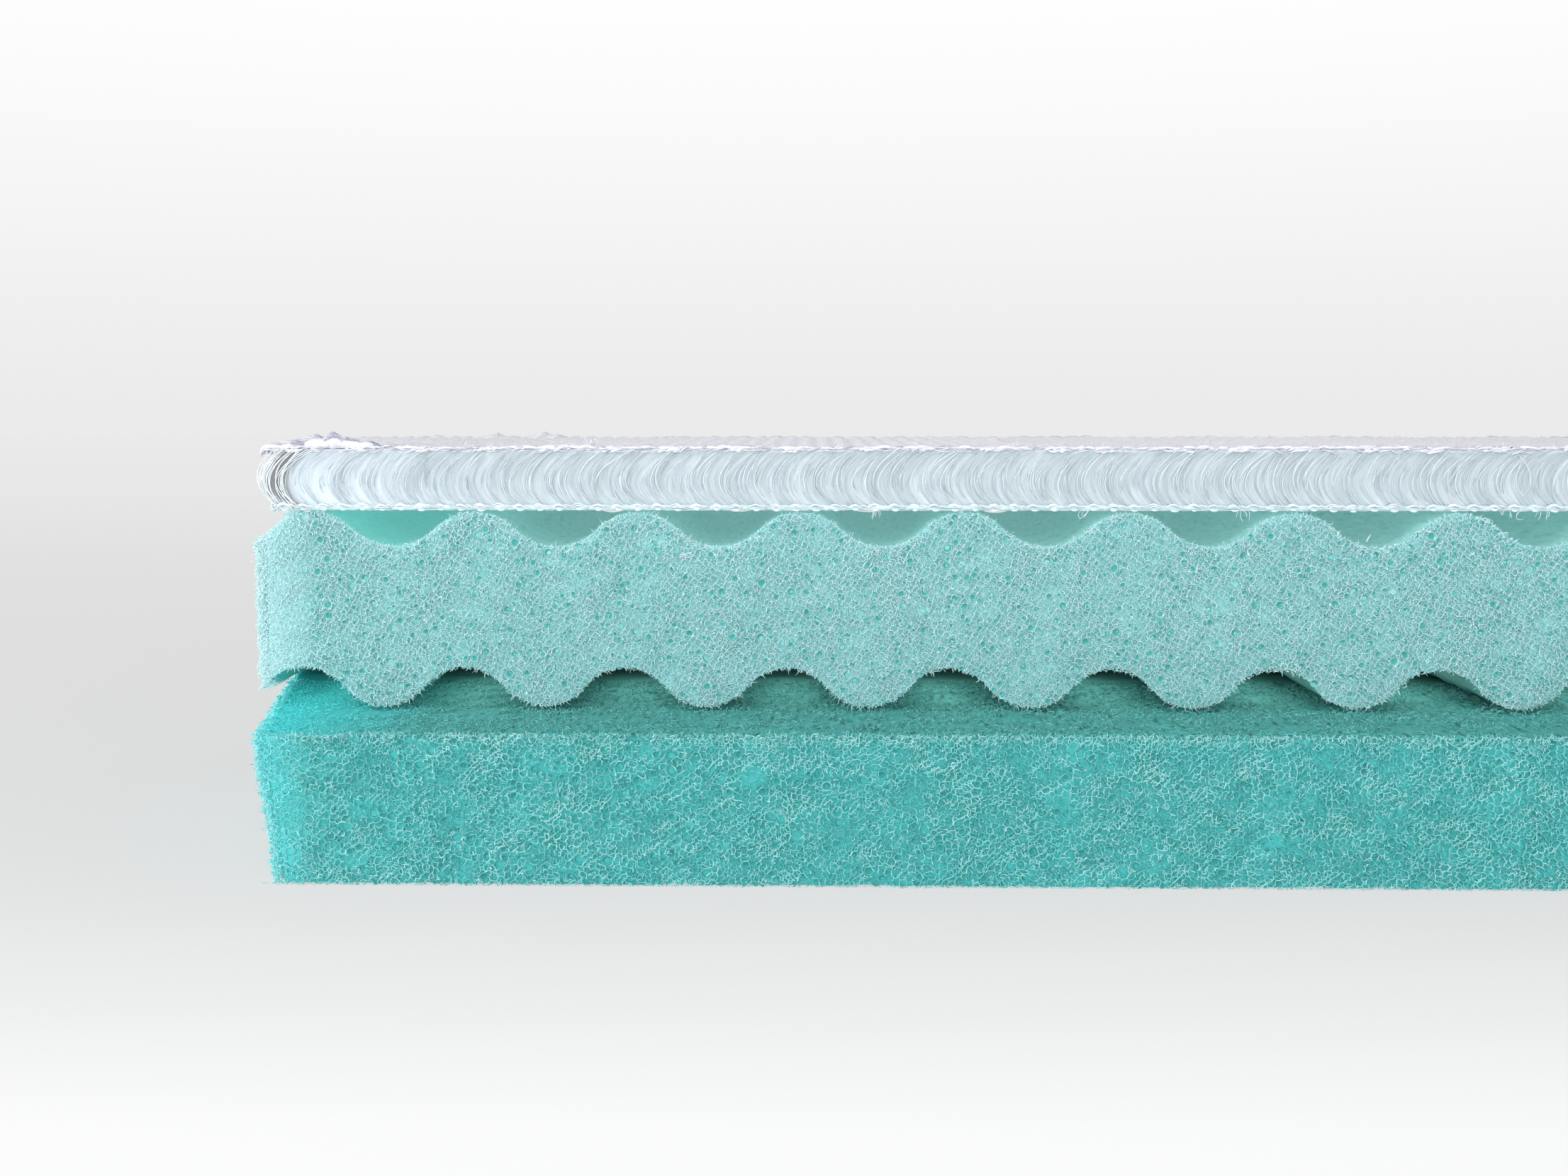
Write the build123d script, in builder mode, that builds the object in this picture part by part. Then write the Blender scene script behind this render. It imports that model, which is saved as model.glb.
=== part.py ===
from build123d import *
import os
from math import ceil, floor, radians, tan

# A cut section through the core of a mattress, with no cover: a base slab, a foam slab with waves
# on both faces, and a knitted spacer fabric on top. The three layers only lie on each other.
# Millimetres, +Z up, +X along the length across the waves, +Y towards the back.
# The origin is the middle of the underside of the base slab.

# The section as it was cut
section_length = 250.0  # along X, at the front face
section_depth = 74.0  # along Y
end_skew = 12.0  # degrees that the cut at the -X end runs off square, seen from above
seat_gap = 0.3  # between layers that lie on each other

# Base slab
base_thickness = 22.5
base_end_lean = 7.0  # degrees that the -X end leans in towards the underside

# Wave foam slab
wave_foam_thickness = 31.0  # from the lowest crests to the highest
wave_pitch = 25.7
top_wave_depth = 5.4
under_wave_depth = 6.2
first_top_crest = 8.9  # from the -X end, at the front face
under_crest_lag = 10.7  # how far each lower crest lies beyond the upper one before it

# How the two upper layers lie on the base slab
upper_set_back = 21.5
upper_end_overhang = 5.8

# Spacer fabric: two knitted faces, held apart by rows of bowed monofilament
spacer_thickness = 10.0
spacer_end_inset = 2.0  # each end of the fabric, behind the end of the wave foam
under_knit_thickness = 1.0
top_knit_thickness = 1.2
stitch_pitch = 3.0
groove_width = 0.9  # between two rows of stitches
groove_depth = 0.3
pile_bow = 2.4  # how far a row bows out towards -X
pile_row_width = 0.5
shortest_pile_row = 4.0  # a shorter row at the skewed end falls out when the fabric is cut

# The base slab's sides
base_left = -section_length / 2
base_right = section_length / 2
base_front = -section_depth / 2
base_back = section_depth / 2
skew_run = section_depth * tan(radians(end_skew))  # the back corner stands out this far

# The sides of the upper layers
upper_front = base_front + upper_set_back
upper_back = base_back + upper_set_back
foam_left = base_left - upper_end_overhang
foam_right = base_right - upper_end_overhang
spacer_left = foam_left + spacer_end_inset
spacer_right = foam_right - spacer_end_inset

# Heights
foam_low = base_thickness + seat_gap
foam_high = foam_low + wave_foam_thickness
spacer_low = foam_high + seat_gap
spacer_high = spacer_low + spacer_thickness
pile_low = spacer_low + under_knit_thickness
pile_high = spacer_high - top_knit_thickness

upper_back_plane = Plane.XZ.offset(-upper_back)


def end_cut(left, front, high, lean=0.0):
    """The plane of the knife at the -X end, through the upper front corner of a layer."""
    return Plane(origin=(left, front, high), z_dir=(1, tan(radians(end_skew)), tan(radians(lean))))


def wave_arcs(peak_x, middle_z, depth, from_x, to_x):
    """Draw a wave of tangent arcs past from_x and to_x, and give its first and last point."""
    reach = wave_pitch / 2
    first = floor((from_x - peak_x) / reach - 0.5)
    last = ceil((to_x - peak_x) / reach + 0.5)
    for number in range(first, last + 1):
        centre_x = peak_x + number * reach
        rise = depth / 2 if number % 2 == 0 else -depth / 2
        ThreePointArc(
            (centre_x - reach / 2, middle_z),
            (centre_x, middle_z + rise),
            (centre_x + reach / 2, middle_z),
        )
    start_x = peak_x + (first - 0.5) * reach
    end_x = peak_x + (last + 0.5) * reach
    return (start_x, middle_z), (end_x, middle_z)


def knit_outline(flat_z, ribbed_z):
    """Draw a knitted face in section: flat inside, and outside a flat rib for each row of stitches."""
    inward = -groove_depth if ribbed_z > flat_z else groove_depth
    rows = ceil((spacer_right - spacer_left + skew_run) / stitch_pitch)
    half_groove = groove_width / 2
    for row in range(rows):
        rib_end = spacer_right - row * stitch_pitch
        rib_start = rib_end - stitch_pitch
        Line((rib_start + half_groove, ribbed_z), (rib_end - half_groove, ribbed_z))
        if row > 0:
            ThreePointArc(
                (rib_end - half_groove, ribbed_z),
                (rib_end, ribbed_z + inward),
                (rib_end + half_groove, ribbed_z),
            )
    far_left = spacer_right - rows * stitch_pitch + half_groove
    near_right = spacer_right - half_groove
    Polyline(
        (near_right, ribbed_z),
        (spacer_right, ribbed_z + inward),
        (spacer_right, flat_z),
        (far_left, flat_z),
        (far_left, ribbed_z),
    )


os.makedirs("parts", exist_ok=True)

# Base slab
with BuildPart() as base_foam:
    with BuildSketch(Plane.XY):
        with Locations(((base_left - skew_run + base_right) / 2, 0)):
            Rectangle(base_right - base_left + skew_run, section_depth)
    extrude(amount=base_thickness)
    split(bisect_by=end_cut(base_left, base_front, base_thickness, base_end_lean), keep=Keep.TOP)
base_foam.part.label = "base_foam"
export_step(base_foam.part, "parts/base_foam.step")

# Wave foam slab
first_peak = foam_left + first_top_crest
first_arch = first_peak + under_crest_lag + wave_pitch / 2
with BuildPart() as wave_foam:
    with BuildSketch(upper_back_plane):
        with BuildLine():
            top_start, top_end = wave_arcs(
                first_peak,
                foam_high - top_wave_depth / 2,
                top_wave_depth,
                foam_left - skew_run,
                foam_right,
            )
            under_start, under_end = wave_arcs(
                first_arch,
                foam_low + under_wave_depth / 2,
                under_wave_depth,
                foam_left - skew_run,
                foam_right,
            )
            Line(top_start, under_start)
            Line(top_end, under_end)
        make_face()
        with Locations(((foam_left - skew_run + foam_right) / 2, (foam_low + foam_high) / 2)):
            Rectangle(foam_right - foam_left + skew_run, wave_foam_thickness, mode=Mode.INTERSECT)
    extrude(amount=section_depth)
    split(bisect_by=end_cut(foam_left, upper_front, foam_high), keep=Keep.TOP)
wave_foam.part.label = "wave_foam"
export_step(wave_foam.part, "parts/wave_foam.step")

# Spacer fabric: the knitted face that lies on the wave foam
with BuildPart() as spacer_under_knit:
    with BuildSketch(upper_back_plane):
        with BuildLine():
            knit_outline(pile_low, spacer_low)
        make_face()
    extrude(amount=section_depth)
    split(bisect_by=end_cut(spacer_left, upper_front, spacer_high), keep=Keep.TOP)
spacer_under_knit.part.label = "spacer_under_knit"
export_step(spacer_under_knit.part, "parts/spacer_under_knit.step")

# Spacer fabric: the knitted face that is lain on
with BuildPart() as spacer_top_knit:
    with BuildSketch(upper_back_plane):
        with BuildLine():
            knit_outline(pile_high, spacer_high)
        make_face()
    extrude(amount=section_depth)
    split(bisect_by=end_cut(spacer_left, upper_front, spacer_high), keep=Keep.TOP)
spacer_top_knit.part.label = "spacer_top_knit"
export_step(spacer_top_knit.part, "parts/spacer_top_knit.step")

# Spacer fabric: the pile, a bowed leaf for each row of monofilament
with BuildSketch(upper_back_plane) as pile_row:
    with BuildLine():
        middle_z = (pile_low + pile_high) / 2
        ThreePointArc((0, pile_low), (-pile_bow, middle_z), (0, pile_high))
        Line((0, pile_high), (pile_row_width, pile_high))
        ThreePointArc(
            (pile_row_width, pile_high),
            (pile_row_width - pile_bow, middle_z),
            (pile_row_width, pile_low),
        )
        Line((pile_row_width, pile_low), (0, pile_low))
    make_face()

# Rows whose bulge is past the front corner of the skewed end start further back, each by its own run
first_foot = spacer_right - stitch_pitch / 2
full_rows = floor((first_foot - pile_bow - spacer_left) / stitch_pitch) + 1
all_rows = floor((first_foot - pile_bow - spacer_left + skew_run) / stitch_pitch) + 1
with BuildPart() as spacer_pile:
    with Locations(*[(first_foot - row * stitch_pitch, 0, 0) for row in range(full_rows)]):
        add(extrude(pile_row.sketch, amount=section_depth, mode=Mode.PRIVATE))
    for row in range(full_rows, all_rows):
        foot_x = first_foot - row * stitch_pitch
        row_depth = section_depth - (spacer_left - foot_x + pile_bow) / tan(radians(end_skew))
        if row_depth > shortest_pile_row:
            with Locations((foot_x, 0, 0)):
                add(extrude(pile_row.sketch, amount=row_depth, mode=Mode.PRIVATE))
spacer_pile.part.label = "spacer_pile"
export_step(spacer_pile.part, "parts/spacer_pile.step")
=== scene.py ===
import itertools
import math
import bpy
import numpy as np
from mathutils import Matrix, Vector


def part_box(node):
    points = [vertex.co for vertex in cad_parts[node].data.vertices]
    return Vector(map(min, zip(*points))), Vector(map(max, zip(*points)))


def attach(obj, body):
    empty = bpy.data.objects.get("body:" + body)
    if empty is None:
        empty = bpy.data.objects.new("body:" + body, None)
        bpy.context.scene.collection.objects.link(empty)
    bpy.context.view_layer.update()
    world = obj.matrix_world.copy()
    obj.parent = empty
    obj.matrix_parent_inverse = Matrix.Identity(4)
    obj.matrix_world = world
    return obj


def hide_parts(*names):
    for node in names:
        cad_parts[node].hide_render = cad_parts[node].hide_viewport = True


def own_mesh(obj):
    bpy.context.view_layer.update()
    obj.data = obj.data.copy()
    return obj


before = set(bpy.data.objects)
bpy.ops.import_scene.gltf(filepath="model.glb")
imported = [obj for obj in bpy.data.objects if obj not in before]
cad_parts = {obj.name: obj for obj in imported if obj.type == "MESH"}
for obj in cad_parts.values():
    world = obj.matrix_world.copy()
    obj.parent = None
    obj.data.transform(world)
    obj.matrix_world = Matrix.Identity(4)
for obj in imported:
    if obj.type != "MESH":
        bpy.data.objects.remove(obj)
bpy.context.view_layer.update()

# A cut section of a mattress core: a base slab, a wave foam slab and a knitted spacer fabric.
# Lengths are in millimetres until a mesh is written; the frame and the camera are in metres.

MM = 0.001
scene = bpy.context.scene
scene.view_settings.view_transform = "Standard"


# ---------------------------------------------------------------- numbers and noise

def srgb(red, green, blue):
    """A colour written as 0 to 255 in a picture, as Blender's linear colour."""
    def linear(value):
        value /= 255
        return value / 12.92 if value <= 0.04045 else ((value + 0.055) / 1.055) ** 2.4
    return (linear(red), linear(green), linear(blue), 1.0)


def node_box(node):
    """Lowest and highest corner of a CAD node, in millimetres."""
    low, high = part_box(node)
    return np.array(low) / MM, np.array(high) / MM


def hash01(cells, salt):
    """A repeatable number from 0 to 1 for each row of three whole numbers."""
    n = cells.astype(np.int64)
    h = (n[:, 0] * 73856093) ^ (n[:, 1] * 19349663) ^ (n[:, 2] * 83492791) ^ (salt * 2654435761)
    h = ((h ^ (h >> 13)) * 1274126177) & 0xFFFFFFFF
    h = ((h ^ (h >> 15)) * 2246822519) & 0xFFFFFFFF
    h = h ^ (h >> 13)
    return (h & 0xFFFFFF) / float(0x1000000)


def smooth_step(value):
    """0 up to 0, 1 from 1 on, and a smooth rise between them."""
    value = np.clip(value, 0.0, 1.0)
    return value * value * (3 - 2 * value)


def ripple(points, wavelength, seed):
    """Smooth noise from about -1 to 1 at points, a sum of waves that run every way."""
    rng = np.random.default_rng(seed)
    total = np.zeros(len(points))
    for _ in range(5):
        way = rng.normal(size=3)
        way *= 2 * math.pi / (wavelength * rng.uniform(0.7, 1.5) * np.linalg.norm(way))
        total += np.sin(points @ way + rng.uniform(0, 2 * math.pi))
    return total / 2.6


# ---------------------------------------------------------------- the frame's own sizes

base_low, base_high = node_box("base_foam")
wave_low, wave_high = node_box("wave_foam")
under_low, under_high = node_box("spacer_under_knit")
top_high = node_box("spacer_top_knit")[1]


def corners_at(node, y):
    """The different corners of a CAD node that lie at this Y, in order of X."""
    points = np.array([v.co[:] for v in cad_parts[node].data.vertices]) / MM
    points = np.unique(points[np.abs(points[:, 1] - y) < 0.01].round(3), axis=0)
    return points[np.argsort(points[:, 0], kind="stable")]


wave_section = corners_at("wave_foam", wave_high[1])
wave_middle = (wave_low[2] + wave_high[2]) / 2
wave_upper = wave_section[wave_section[:, 2] > wave_middle]
wave_lower = wave_section[wave_section[:, 2] < wave_middle]


class Slab:
    """A foam slab: its top and underside along X, and its two ends, all read from the frame."""

    def __init__(self, node, upper, lower):
        self.low, self.high = node_box(node)
        self.right = self.high[0]
        self.upper, self.lower = upper, lower
        self.crest = upper[np.argmax(upper[:, 2]), 0]
        front = corners_at(node, self.low[1])
        back = corners_at(node, self.high[1])
        top_left = front[front[:, 2] > (self.low[2] + self.high[2]) / 2][0]
        low_left = front[front[:, 2] < (self.low[2] + self.high[2]) / 2][0]
        self.left_x, self.left_z = top_left[0], top_left[2]
        self.lean = (low_left[0] - top_left[0]) / max(top_left[2] - low_left[2], 1.0)
        self.skew = (back[0][0] - front[0][0]) / (self.high[1] - self.low[1])

    def top(self, x):
        return np.interp(x, self.upper[:, 0], self.upper[:, 2])

    def under(self, x):
        return np.interp(x, self.lower[:, 0], self.lower[:, 2])

    def left(self, y, z):
        return self.left_x + self.skew * (y - self.low[1]) + self.lean * (self.left_z - z)


flat_x = np.array([base_low[0], base_high[0]])
base_slab = Slab(
    "base_foam",
    np.array([[x, 0, base_high[2]] for x in flat_x]),
    np.array([[x, 0, base_low[2]] for x in flat_x]),
)
wave_slab = Slab("wave_foam", wave_upper, wave_lower)


# ---------------------------------------------------------------- meshes

def new_mesh(name, points, faces):
    """A mesh object from points in millimetres and faces that all have as many corners.
    Its own map is laid along X and Z."""
    mesh = bpy.data.meshes.new(name)
    count, corners = faces.shape
    mesh.vertices.add(len(points))
    mesh.vertices.foreach_set("co", (points * MM).astype(np.float32).ravel())
    mesh.loops.add(faces.size)
    mesh.loops.foreach_set("vertex_index", faces.astype(np.int32).ravel())
    mesh.polygons.add(count)
    mesh.polygons.foreach_set("loop_start", np.arange(0, faces.size, corners, dtype=np.int32))
    mesh.polygons.foreach_set("use_smooth", np.full(count, True))
    mesh.update(calc_edges=True)
    low, high = points.min(0), points.max(0)
    flat = (points[:, (0, 2)] - low[[0, 2]]) / (high - low)[[0, 2]]
    layer = mesh.uv_layers.new(name="OFBake")
    layer.uv.foreach_set("vector", flat[faces.ravel()].astype(np.float32).ravel())
    piece = bpy.data.objects.new(name, mesh)
    scene.collection.objects.link(piece)
    return piece


def set_numbers(piece, name, values):
    """A number at each point of the mesh, for the material to read."""
    attribute = piece.data.attributes.new(name, "FLOAT", "POINT")
    attribute.data.foreach_set("value", np.asarray(values, np.float32).ravel())


def dress(piece, material, body):
    """The piece gets its material and its body."""
    piece.data.materials.append(material)
    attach(piece, body)
    return piece


def ring_faces(rings, sides, count):
    """The faces between rings of points, for a number of open tubes one after another."""
    faces = []
    for ring in range(rings - 1):
        for side in range(sides):
            after = (side + 1) % sides
            low, high = ring * sides, (ring + 1) * sides
            faces.append([low + side, low + after, high + after, high + side])
    return (np.array(faces)[None] + (np.arange(count) * rings * sides)[:, None, None]).reshape(-1, 4)


def tubes(paths, radii, sides, helper):
    """Tubes along paths, an array of tubes by points by XYZ, with a radius at each point.
    helper is a direction that the paths don't follow, or None for one that suits each path."""
    along = np.gradient(paths, axis=1)
    along /= np.maximum(np.linalg.norm(along, axis=2, keepdims=True), 1e-9)
    if helper is None:
        helper = np.where(np.abs(along[:, :, 2:]) < 0.8, [0, 0, 1.0], [1.0, 0, 0])
    first = np.cross(along, helper)
    first /= np.maximum(np.linalg.norm(first, axis=2, keepdims=True), 1e-9)
    second = np.cross(along, first)
    count, steps = paths.shape[:2]
    points = np.zeros((count, steps, sides, 3))
    for side in range(sides):
        turn = 2 * math.pi * side / sides
        offset = math.cos(turn) * first + math.sin(turn) * second
        points[:, :, side] = paths + offset * radii[:, :, None]
    return points.reshape(-1, 3), ring_faces(steps, sides, count)


def strands(name, paths, radii, numbers, material, body, sides=3, helper=(0.0, 0.2, 1.0)):
    """A piece of tubes along paths. numbers holds what the material reads, by its name: a value
    for each tube, or for each point of its path."""
    points, faces = tubes(paths, radii, sides, helper)
    piece = new_mesh(name, points, faces)
    for key, values in numbers.items():
        set_numbers(piece, key, np.repeat(np.ravel(values), len(points) // np.size(values)))
    return dress(piece, material, body)


def tapering(steps, first=0.07):
    """The share of its thickness that a strand has at each step, with both its ends thin."""
    return np.sin(math.pi * np.linspace(first, 0.93, steps)) ** 0.5


# ---------------------------------------------------------------- open-cell foam

LATTICE_STEP = 3.7  # lattice units in the width of one cell
JITTER = 0.45  # lattice units that a joint may lie from its regular place
BLOCK = 12.0  # edge of the boxes in which the network is made
LOWEST = 0.05  # height over the floor below which no point of the foam lies
PORE_RIM = 1.45  # how far from a pore's middle it pushes the struts, in shares of its radius
PORE_FREE = 0.85  # the share of a pore's radius within which no strut lies
CUPS_A_PIECE = 1500
STRUTS_A_PIECE = 33000
NO_PORES = (np.zeros((0, 3)), np.zeros(0))
# from one joint of struts to the next, in lattice units; each strut is reached from one end
HALF_EDGES = np.array([(1, 1, 0), (1, -1, 0), (1, 0, 1), (1, 0, -1), (0, 1, 1), (0, 1, -1)])


def turning(about_x, about_y, about_z):
    """A rotation matrix."""
    cx, sx = math.cos(about_x), math.sin(about_x)
    cy, sy = math.cos(about_y), math.sin(about_y)
    cz, sz = math.cos(about_z), math.sin(about_z)
    turn_x = np.array([[1, 0, 0], [0, cx, -sx], [0, sx, cx]])
    turn_y = np.array([[cy, 0, sy], [0, 1, 0], [-sy, 0, cy]])
    turn_z = np.array([[cz, -sz, 0], [sz, cz, 0], [0, 0, 1]])
    return turn_z @ turn_y @ turn_x


def is_joint(n):
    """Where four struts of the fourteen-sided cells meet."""
    rest = np.mod(n, 4)
    return ((rest == 0).sum(1) == 1) & ((rest == 2).sum(1) == 1)


def warp(points, cell):
    """Bends the regular network, so that cells differ in size and their rows wander."""
    rng = np.random.default_rng(5)
    moved = np.zeros_like(points)
    for wavelength, reach in ((13.0, 0.22), (6.3, 0.14), (3.4, 0.09)):
        for axis in range(3):
            for _ in range(2):
                way = rng.normal(size=3)
                way *= 2 * math.pi / (wavelength * cell * np.linalg.norm(way))
                moved[:, axis] += reach * np.sin(points @ way + rng.uniform(0, 6.3))
    return moved * cell


def network(low, high, cell, seed):
    """The struts of open cells that fill a box: their ends and a random number for each."""
    unit = cell / LATTICE_STEP
    turn = turning(0.35 + seed, 0.5, 0.9 - seed)
    high = np.array(high, float)

    def place(n):
        shift = np.stack([hash01(n, seed * 10 + axis) for axis in range(3)], 1) - 0.5
        straight = (n * unit) @ turn.T
        return straight + shift * (2 * JITTER * unit) + warp(straight, cell)

    starts, ends = [], []
    for near in itertools.product(*[np.arange(low[axis], high[axis], BLOCK) for axis in range(3)]):
        far = np.minimum(np.add(near, BLOCK), high)
        span = np.array(list(itertools.product(*zip(near, far)))) @ turn / unit
        first, last = np.floor(span.min(0)).astype(int), np.ceil(span.max(0)).astype(int)
        axes = [np.arange(first[axis], last[axis] + 1) for axis in range(3)]
        grid = np.stack(np.meshgrid(*axes, indexing="ij"), -1).reshape(-1, 3)
        grid = grid[is_joint(grid)]
        straight = (grid * unit) @ turn.T
        grid = grid[((straight >= near) & (straight < far)).all(1)]
        for step in HALF_EDGES:
            other = grid + step
            both = is_joint(other)
            starts.append(grid[both])
            ends.append(other[both])
    starts, ends = np.concatenate(starts), np.concatenate(ends)
    return place(starts), place(ends), hash01(starts * 2 + ends, seed + 77)


def near_each(points, centres, reaches):
    """For each centre in turn, the numbers of the points that lie within its reach along X."""
    order = np.argsort(points[:, 0], kind="stable")
    sorted_x = points[order, 0]
    for centre, reach in zip(centres, reaches):
        begin = np.searchsorted(sorted_x, centre[0] - reach)
        end = np.searchsorted(sorted_x, centre[0] + reach)
        yield order[begin:end]


def open_pores(points, centres, radii):
    """Pushes points out of round pores, so that a rim of struts gathers about each one."""
    reaches = PORE_RIM * radii
    for centre, radius, reach, near in zip(centres, radii, reaches, near_each(points, centres, reaches)):
        away = points[near] - centre
        distance = np.maximum(np.linalg.norm(away, axis=1), 1e-6)
        inside = distance < reach
        pushed = radius + (reach - radius) * (distance / reach) ** 2
        points[near[inside]] = centre + (away * (pushed / distance)[:, None])[inside]
    return points


def clear_of_pores(points, centres, radii):
    """Which points lie in none of the pores."""
    free = np.ones(len(points), bool)
    for centre, radius, near in zip(centres, radii, near_each(points, centres, radii)):
        free[near[np.linalg.norm(points[near] - centre, axis=1) < radius]] = False
    return free


def spaced_pores(low, high, count, radii, seed):
    """Places for round pores in a box, none of them over another."""
    rng = np.random.default_rng(seed)
    tries = rng.uniform(low, high, (count, 3))
    sizes = radii[0] + (radii[1] - radii[0]) * rng.random(count) ** 2.6
    kept = np.zeros(count, bool)
    for number in range(count):
        before = np.flatnonzero(kept[:number])
        gap = np.hypot(*(tries[before] - tries[number])[:, (0, 2)].T)
        kept[number] = np.all(gap > 1.05 * (sizes[before] + sizes[number]))
    return tries[kept], sizes[kept]


# the section of a pore from its rim inward: share of its radius, share of its radius in depth, tone,
# which paints shade into the bowl
CUP_PROFILE = np.array([
    (1.12, 0.62, 1.0), (1.03, 0.48, 1.0), (0.97, 0.48, 1.1), (0.91, 0.60, 1.3),
    (0.76, 0.82, 1.45), (0.45, 1.02, 1.55), (0.03, 1.10, 1.6),
])
CUP_SIDES = 10


def pore_cups(name, centres, sizes, seed, material, body):
    """Round pores laid open by the cut: a pale rim and a bowl behind it, darkened with painted shade."""
    rng = np.random.default_rng(seed)
    count, turns = len(centres), np.linspace(0, 2 * math.pi, CUP_SIDES, endpoint=False)
    wobble = 1 + 0.07 * np.cos(2 * turns + rng.uniform(0, 6.3, (count, 1)))
    wobble += 0.05 * np.cos(3 * turns + rng.uniform(0, 6.3, (count, 1)))
    across, deep, tone = CUP_PROFILE.T
    reach = sizes[:, None, None] * across[None, :, None] * wobble[:, None, :]
    x, z = reach * np.cos(turns), reach * np.sin(turns)
    tilt = rng.normal(0, 0.16, (2, count, 1, 1))
    y = sizes[:, None, None] * deep[None, :, None] + tilt[0] * x + tilt[1] * z
    points = np.stack([x, y, z], 3) + centres[:, None, None]
    ends = np.linspace(0, count, math.ceil(count / CUPS_A_PIECE) + 1).astype(int)
    for part, (begin, end) in enumerate(zip(ends[:-1], ends[1:])):
        own = points[begin:end].reshape(-1, 3)
        faces = ring_faces(len(CUP_PROFILE), CUP_SIDES, end - begin)
        piece = new_mesh("%s_%d" % (name, part + 1), own, faces)
        set_numbers(piece, "depth", np.tile(np.repeat(tone, CUP_SIDES), end - begin))
        set_numbers(piece, "edge", np.zeros(len(own)))
        dress(piece, material, body)


def strut_layer(name, low, high, inside, depth_of, edge_of, cell, radius, seed, pores, material, body):
    """Real struts in a box, about round pores given as places and sizes.
    inside picks them by their middles; depth_of and edge_of give the material its tones."""
    starts, ends, chance = network(low, high, cell, seed)
    centres, sizes = pores
    starts, ends = open_pores(starts, centres, sizes), open_pores(ends, centres, sizes)
    middles = (starts + ends) / 2
    kept = inside(middles) & clear_of_pores(middles, centres, sizes * PORE_FREE)
    paths = np.stack([starts[kept], ends[kept]], 1)
    paths[:, :, 2] = np.maximum(paths[:, :, 2], LOWEST)
    radii = np.repeat(radius * (0.65 + 0.75 * chance[kept, None] ** 1.5), 2, axis=1)
    blocks = max(1, math.ceil(len(paths) / STRUTS_A_PIECE))
    start_x = paths[:, 0, 0]
    cuts = np.quantile(start_x, np.linspace(0, 1, blocks + 1))
    cuts[0], cuts[-1] = cuts[0] - 1, cuts[-1] + 1
    for block in range(blocks):
        here = (start_x >= cuts[block]) & (start_x < cuts[block + 1])
        tips = paths[here].reshape(-1, 3)
        numbers = {"depth": np.clip(depth_of(tips), 0, 1), "edge": np.clip(edge_of(tips), 0, 1)}
        strands(name if blocks == 1 else "%s_%d" % (name, block + 1), paths[here], radii[here],
                numbers, material, body, helper=None)


# ---------------------------------------------------------------- materials

PAINTED_GLOW_REACH = 9  # how far in from the -X end the painted glow reaches: painted light that stands in for light soaking into the foam


def new_material(name):
    """A material with its node tree and its Principled node."""
    material = bpy.data.materials.new(name)
    material.use_nodes = True
    tree = material.node_tree
    return material, tree, tree.nodes["Principled BSDF"]


def add(tree, kind, **settings):
    """A node, with its settings, and its inputs where a key names one."""
    made = tree.nodes.new(kind)
    for key, value in settings.items():
        if hasattr(made, key):
            setattr(made, key, value)
        else:
            made.inputs[key.replace("_", " ")].default_value = value
    return made


def join(source, node, name):
    """A link from an output to a node's input."""
    source.id_data.links.new(source, node.inputs[name])


def texture(kind, place, output=0, **settings):
    """The output of a texture, Mapping or Separate node whose vector is another output."""
    made = add(place.id_data, "ShaderNode" + kind, **settings)
    join(place, made, "Vector")
    return made.outputs[output]


def spread(source, low, high, to_low=0.0, to_high=1.0):
    """Stretches a value from one range to another, and holds it inside."""
    made = add(source.id_data, "ShaderNodeMapRange")
    for number, value in enumerate((low, high, to_low, to_high)):
        made.inputs[number + 1].default_value = value
    join(source, made, "Value")
    return made.outputs["Result"]


def paint(shader, colour, *layers):
    """The shader's colour: a first one, and over it each layer's, by the factor it comes with."""
    under = None
    for factor, over in layers:
        made = add(factor.id_data, "ShaderNodeMix", data_type="RGBA")
        join(factor, made, 0)
        if under is None:
            made.inputs[6].default_value = colour
        else:
            join(under, made, 6)
        made.inputs[7].default_value = over
        under = made.outputs[2]
    join(under, shader, "Base Color")


def combined(operation, first, second):
    """Two values in one Math node."""
    made = add(first.id_data, "ShaderNodeMath", operation=operation)
    join(first, made, 0)
    join(second, made, 1)
    return made.outputs["Value"]


def dent(shader, height, strength, distance):
    """A bump of the surface, over one that it has already."""
    made = add(height.id_data, "ShaderNodeBump", Strength=strength, Distance=distance)
    join(height, made, "Height")
    for link in shader.inputs["Normal"].links:
        join(link.from_socket, made, "Normal")
    join(made.outputs["Normal"], shader, "Normal")


def along_x(place, low, high, most=1.0):
    """0 at X = low and most at X = high, in millimetres, in the piece's own frame."""
    return spread(texture("SeparateXYZ", place, "X"), low * MM, high * MM, 0.0, most)


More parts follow.
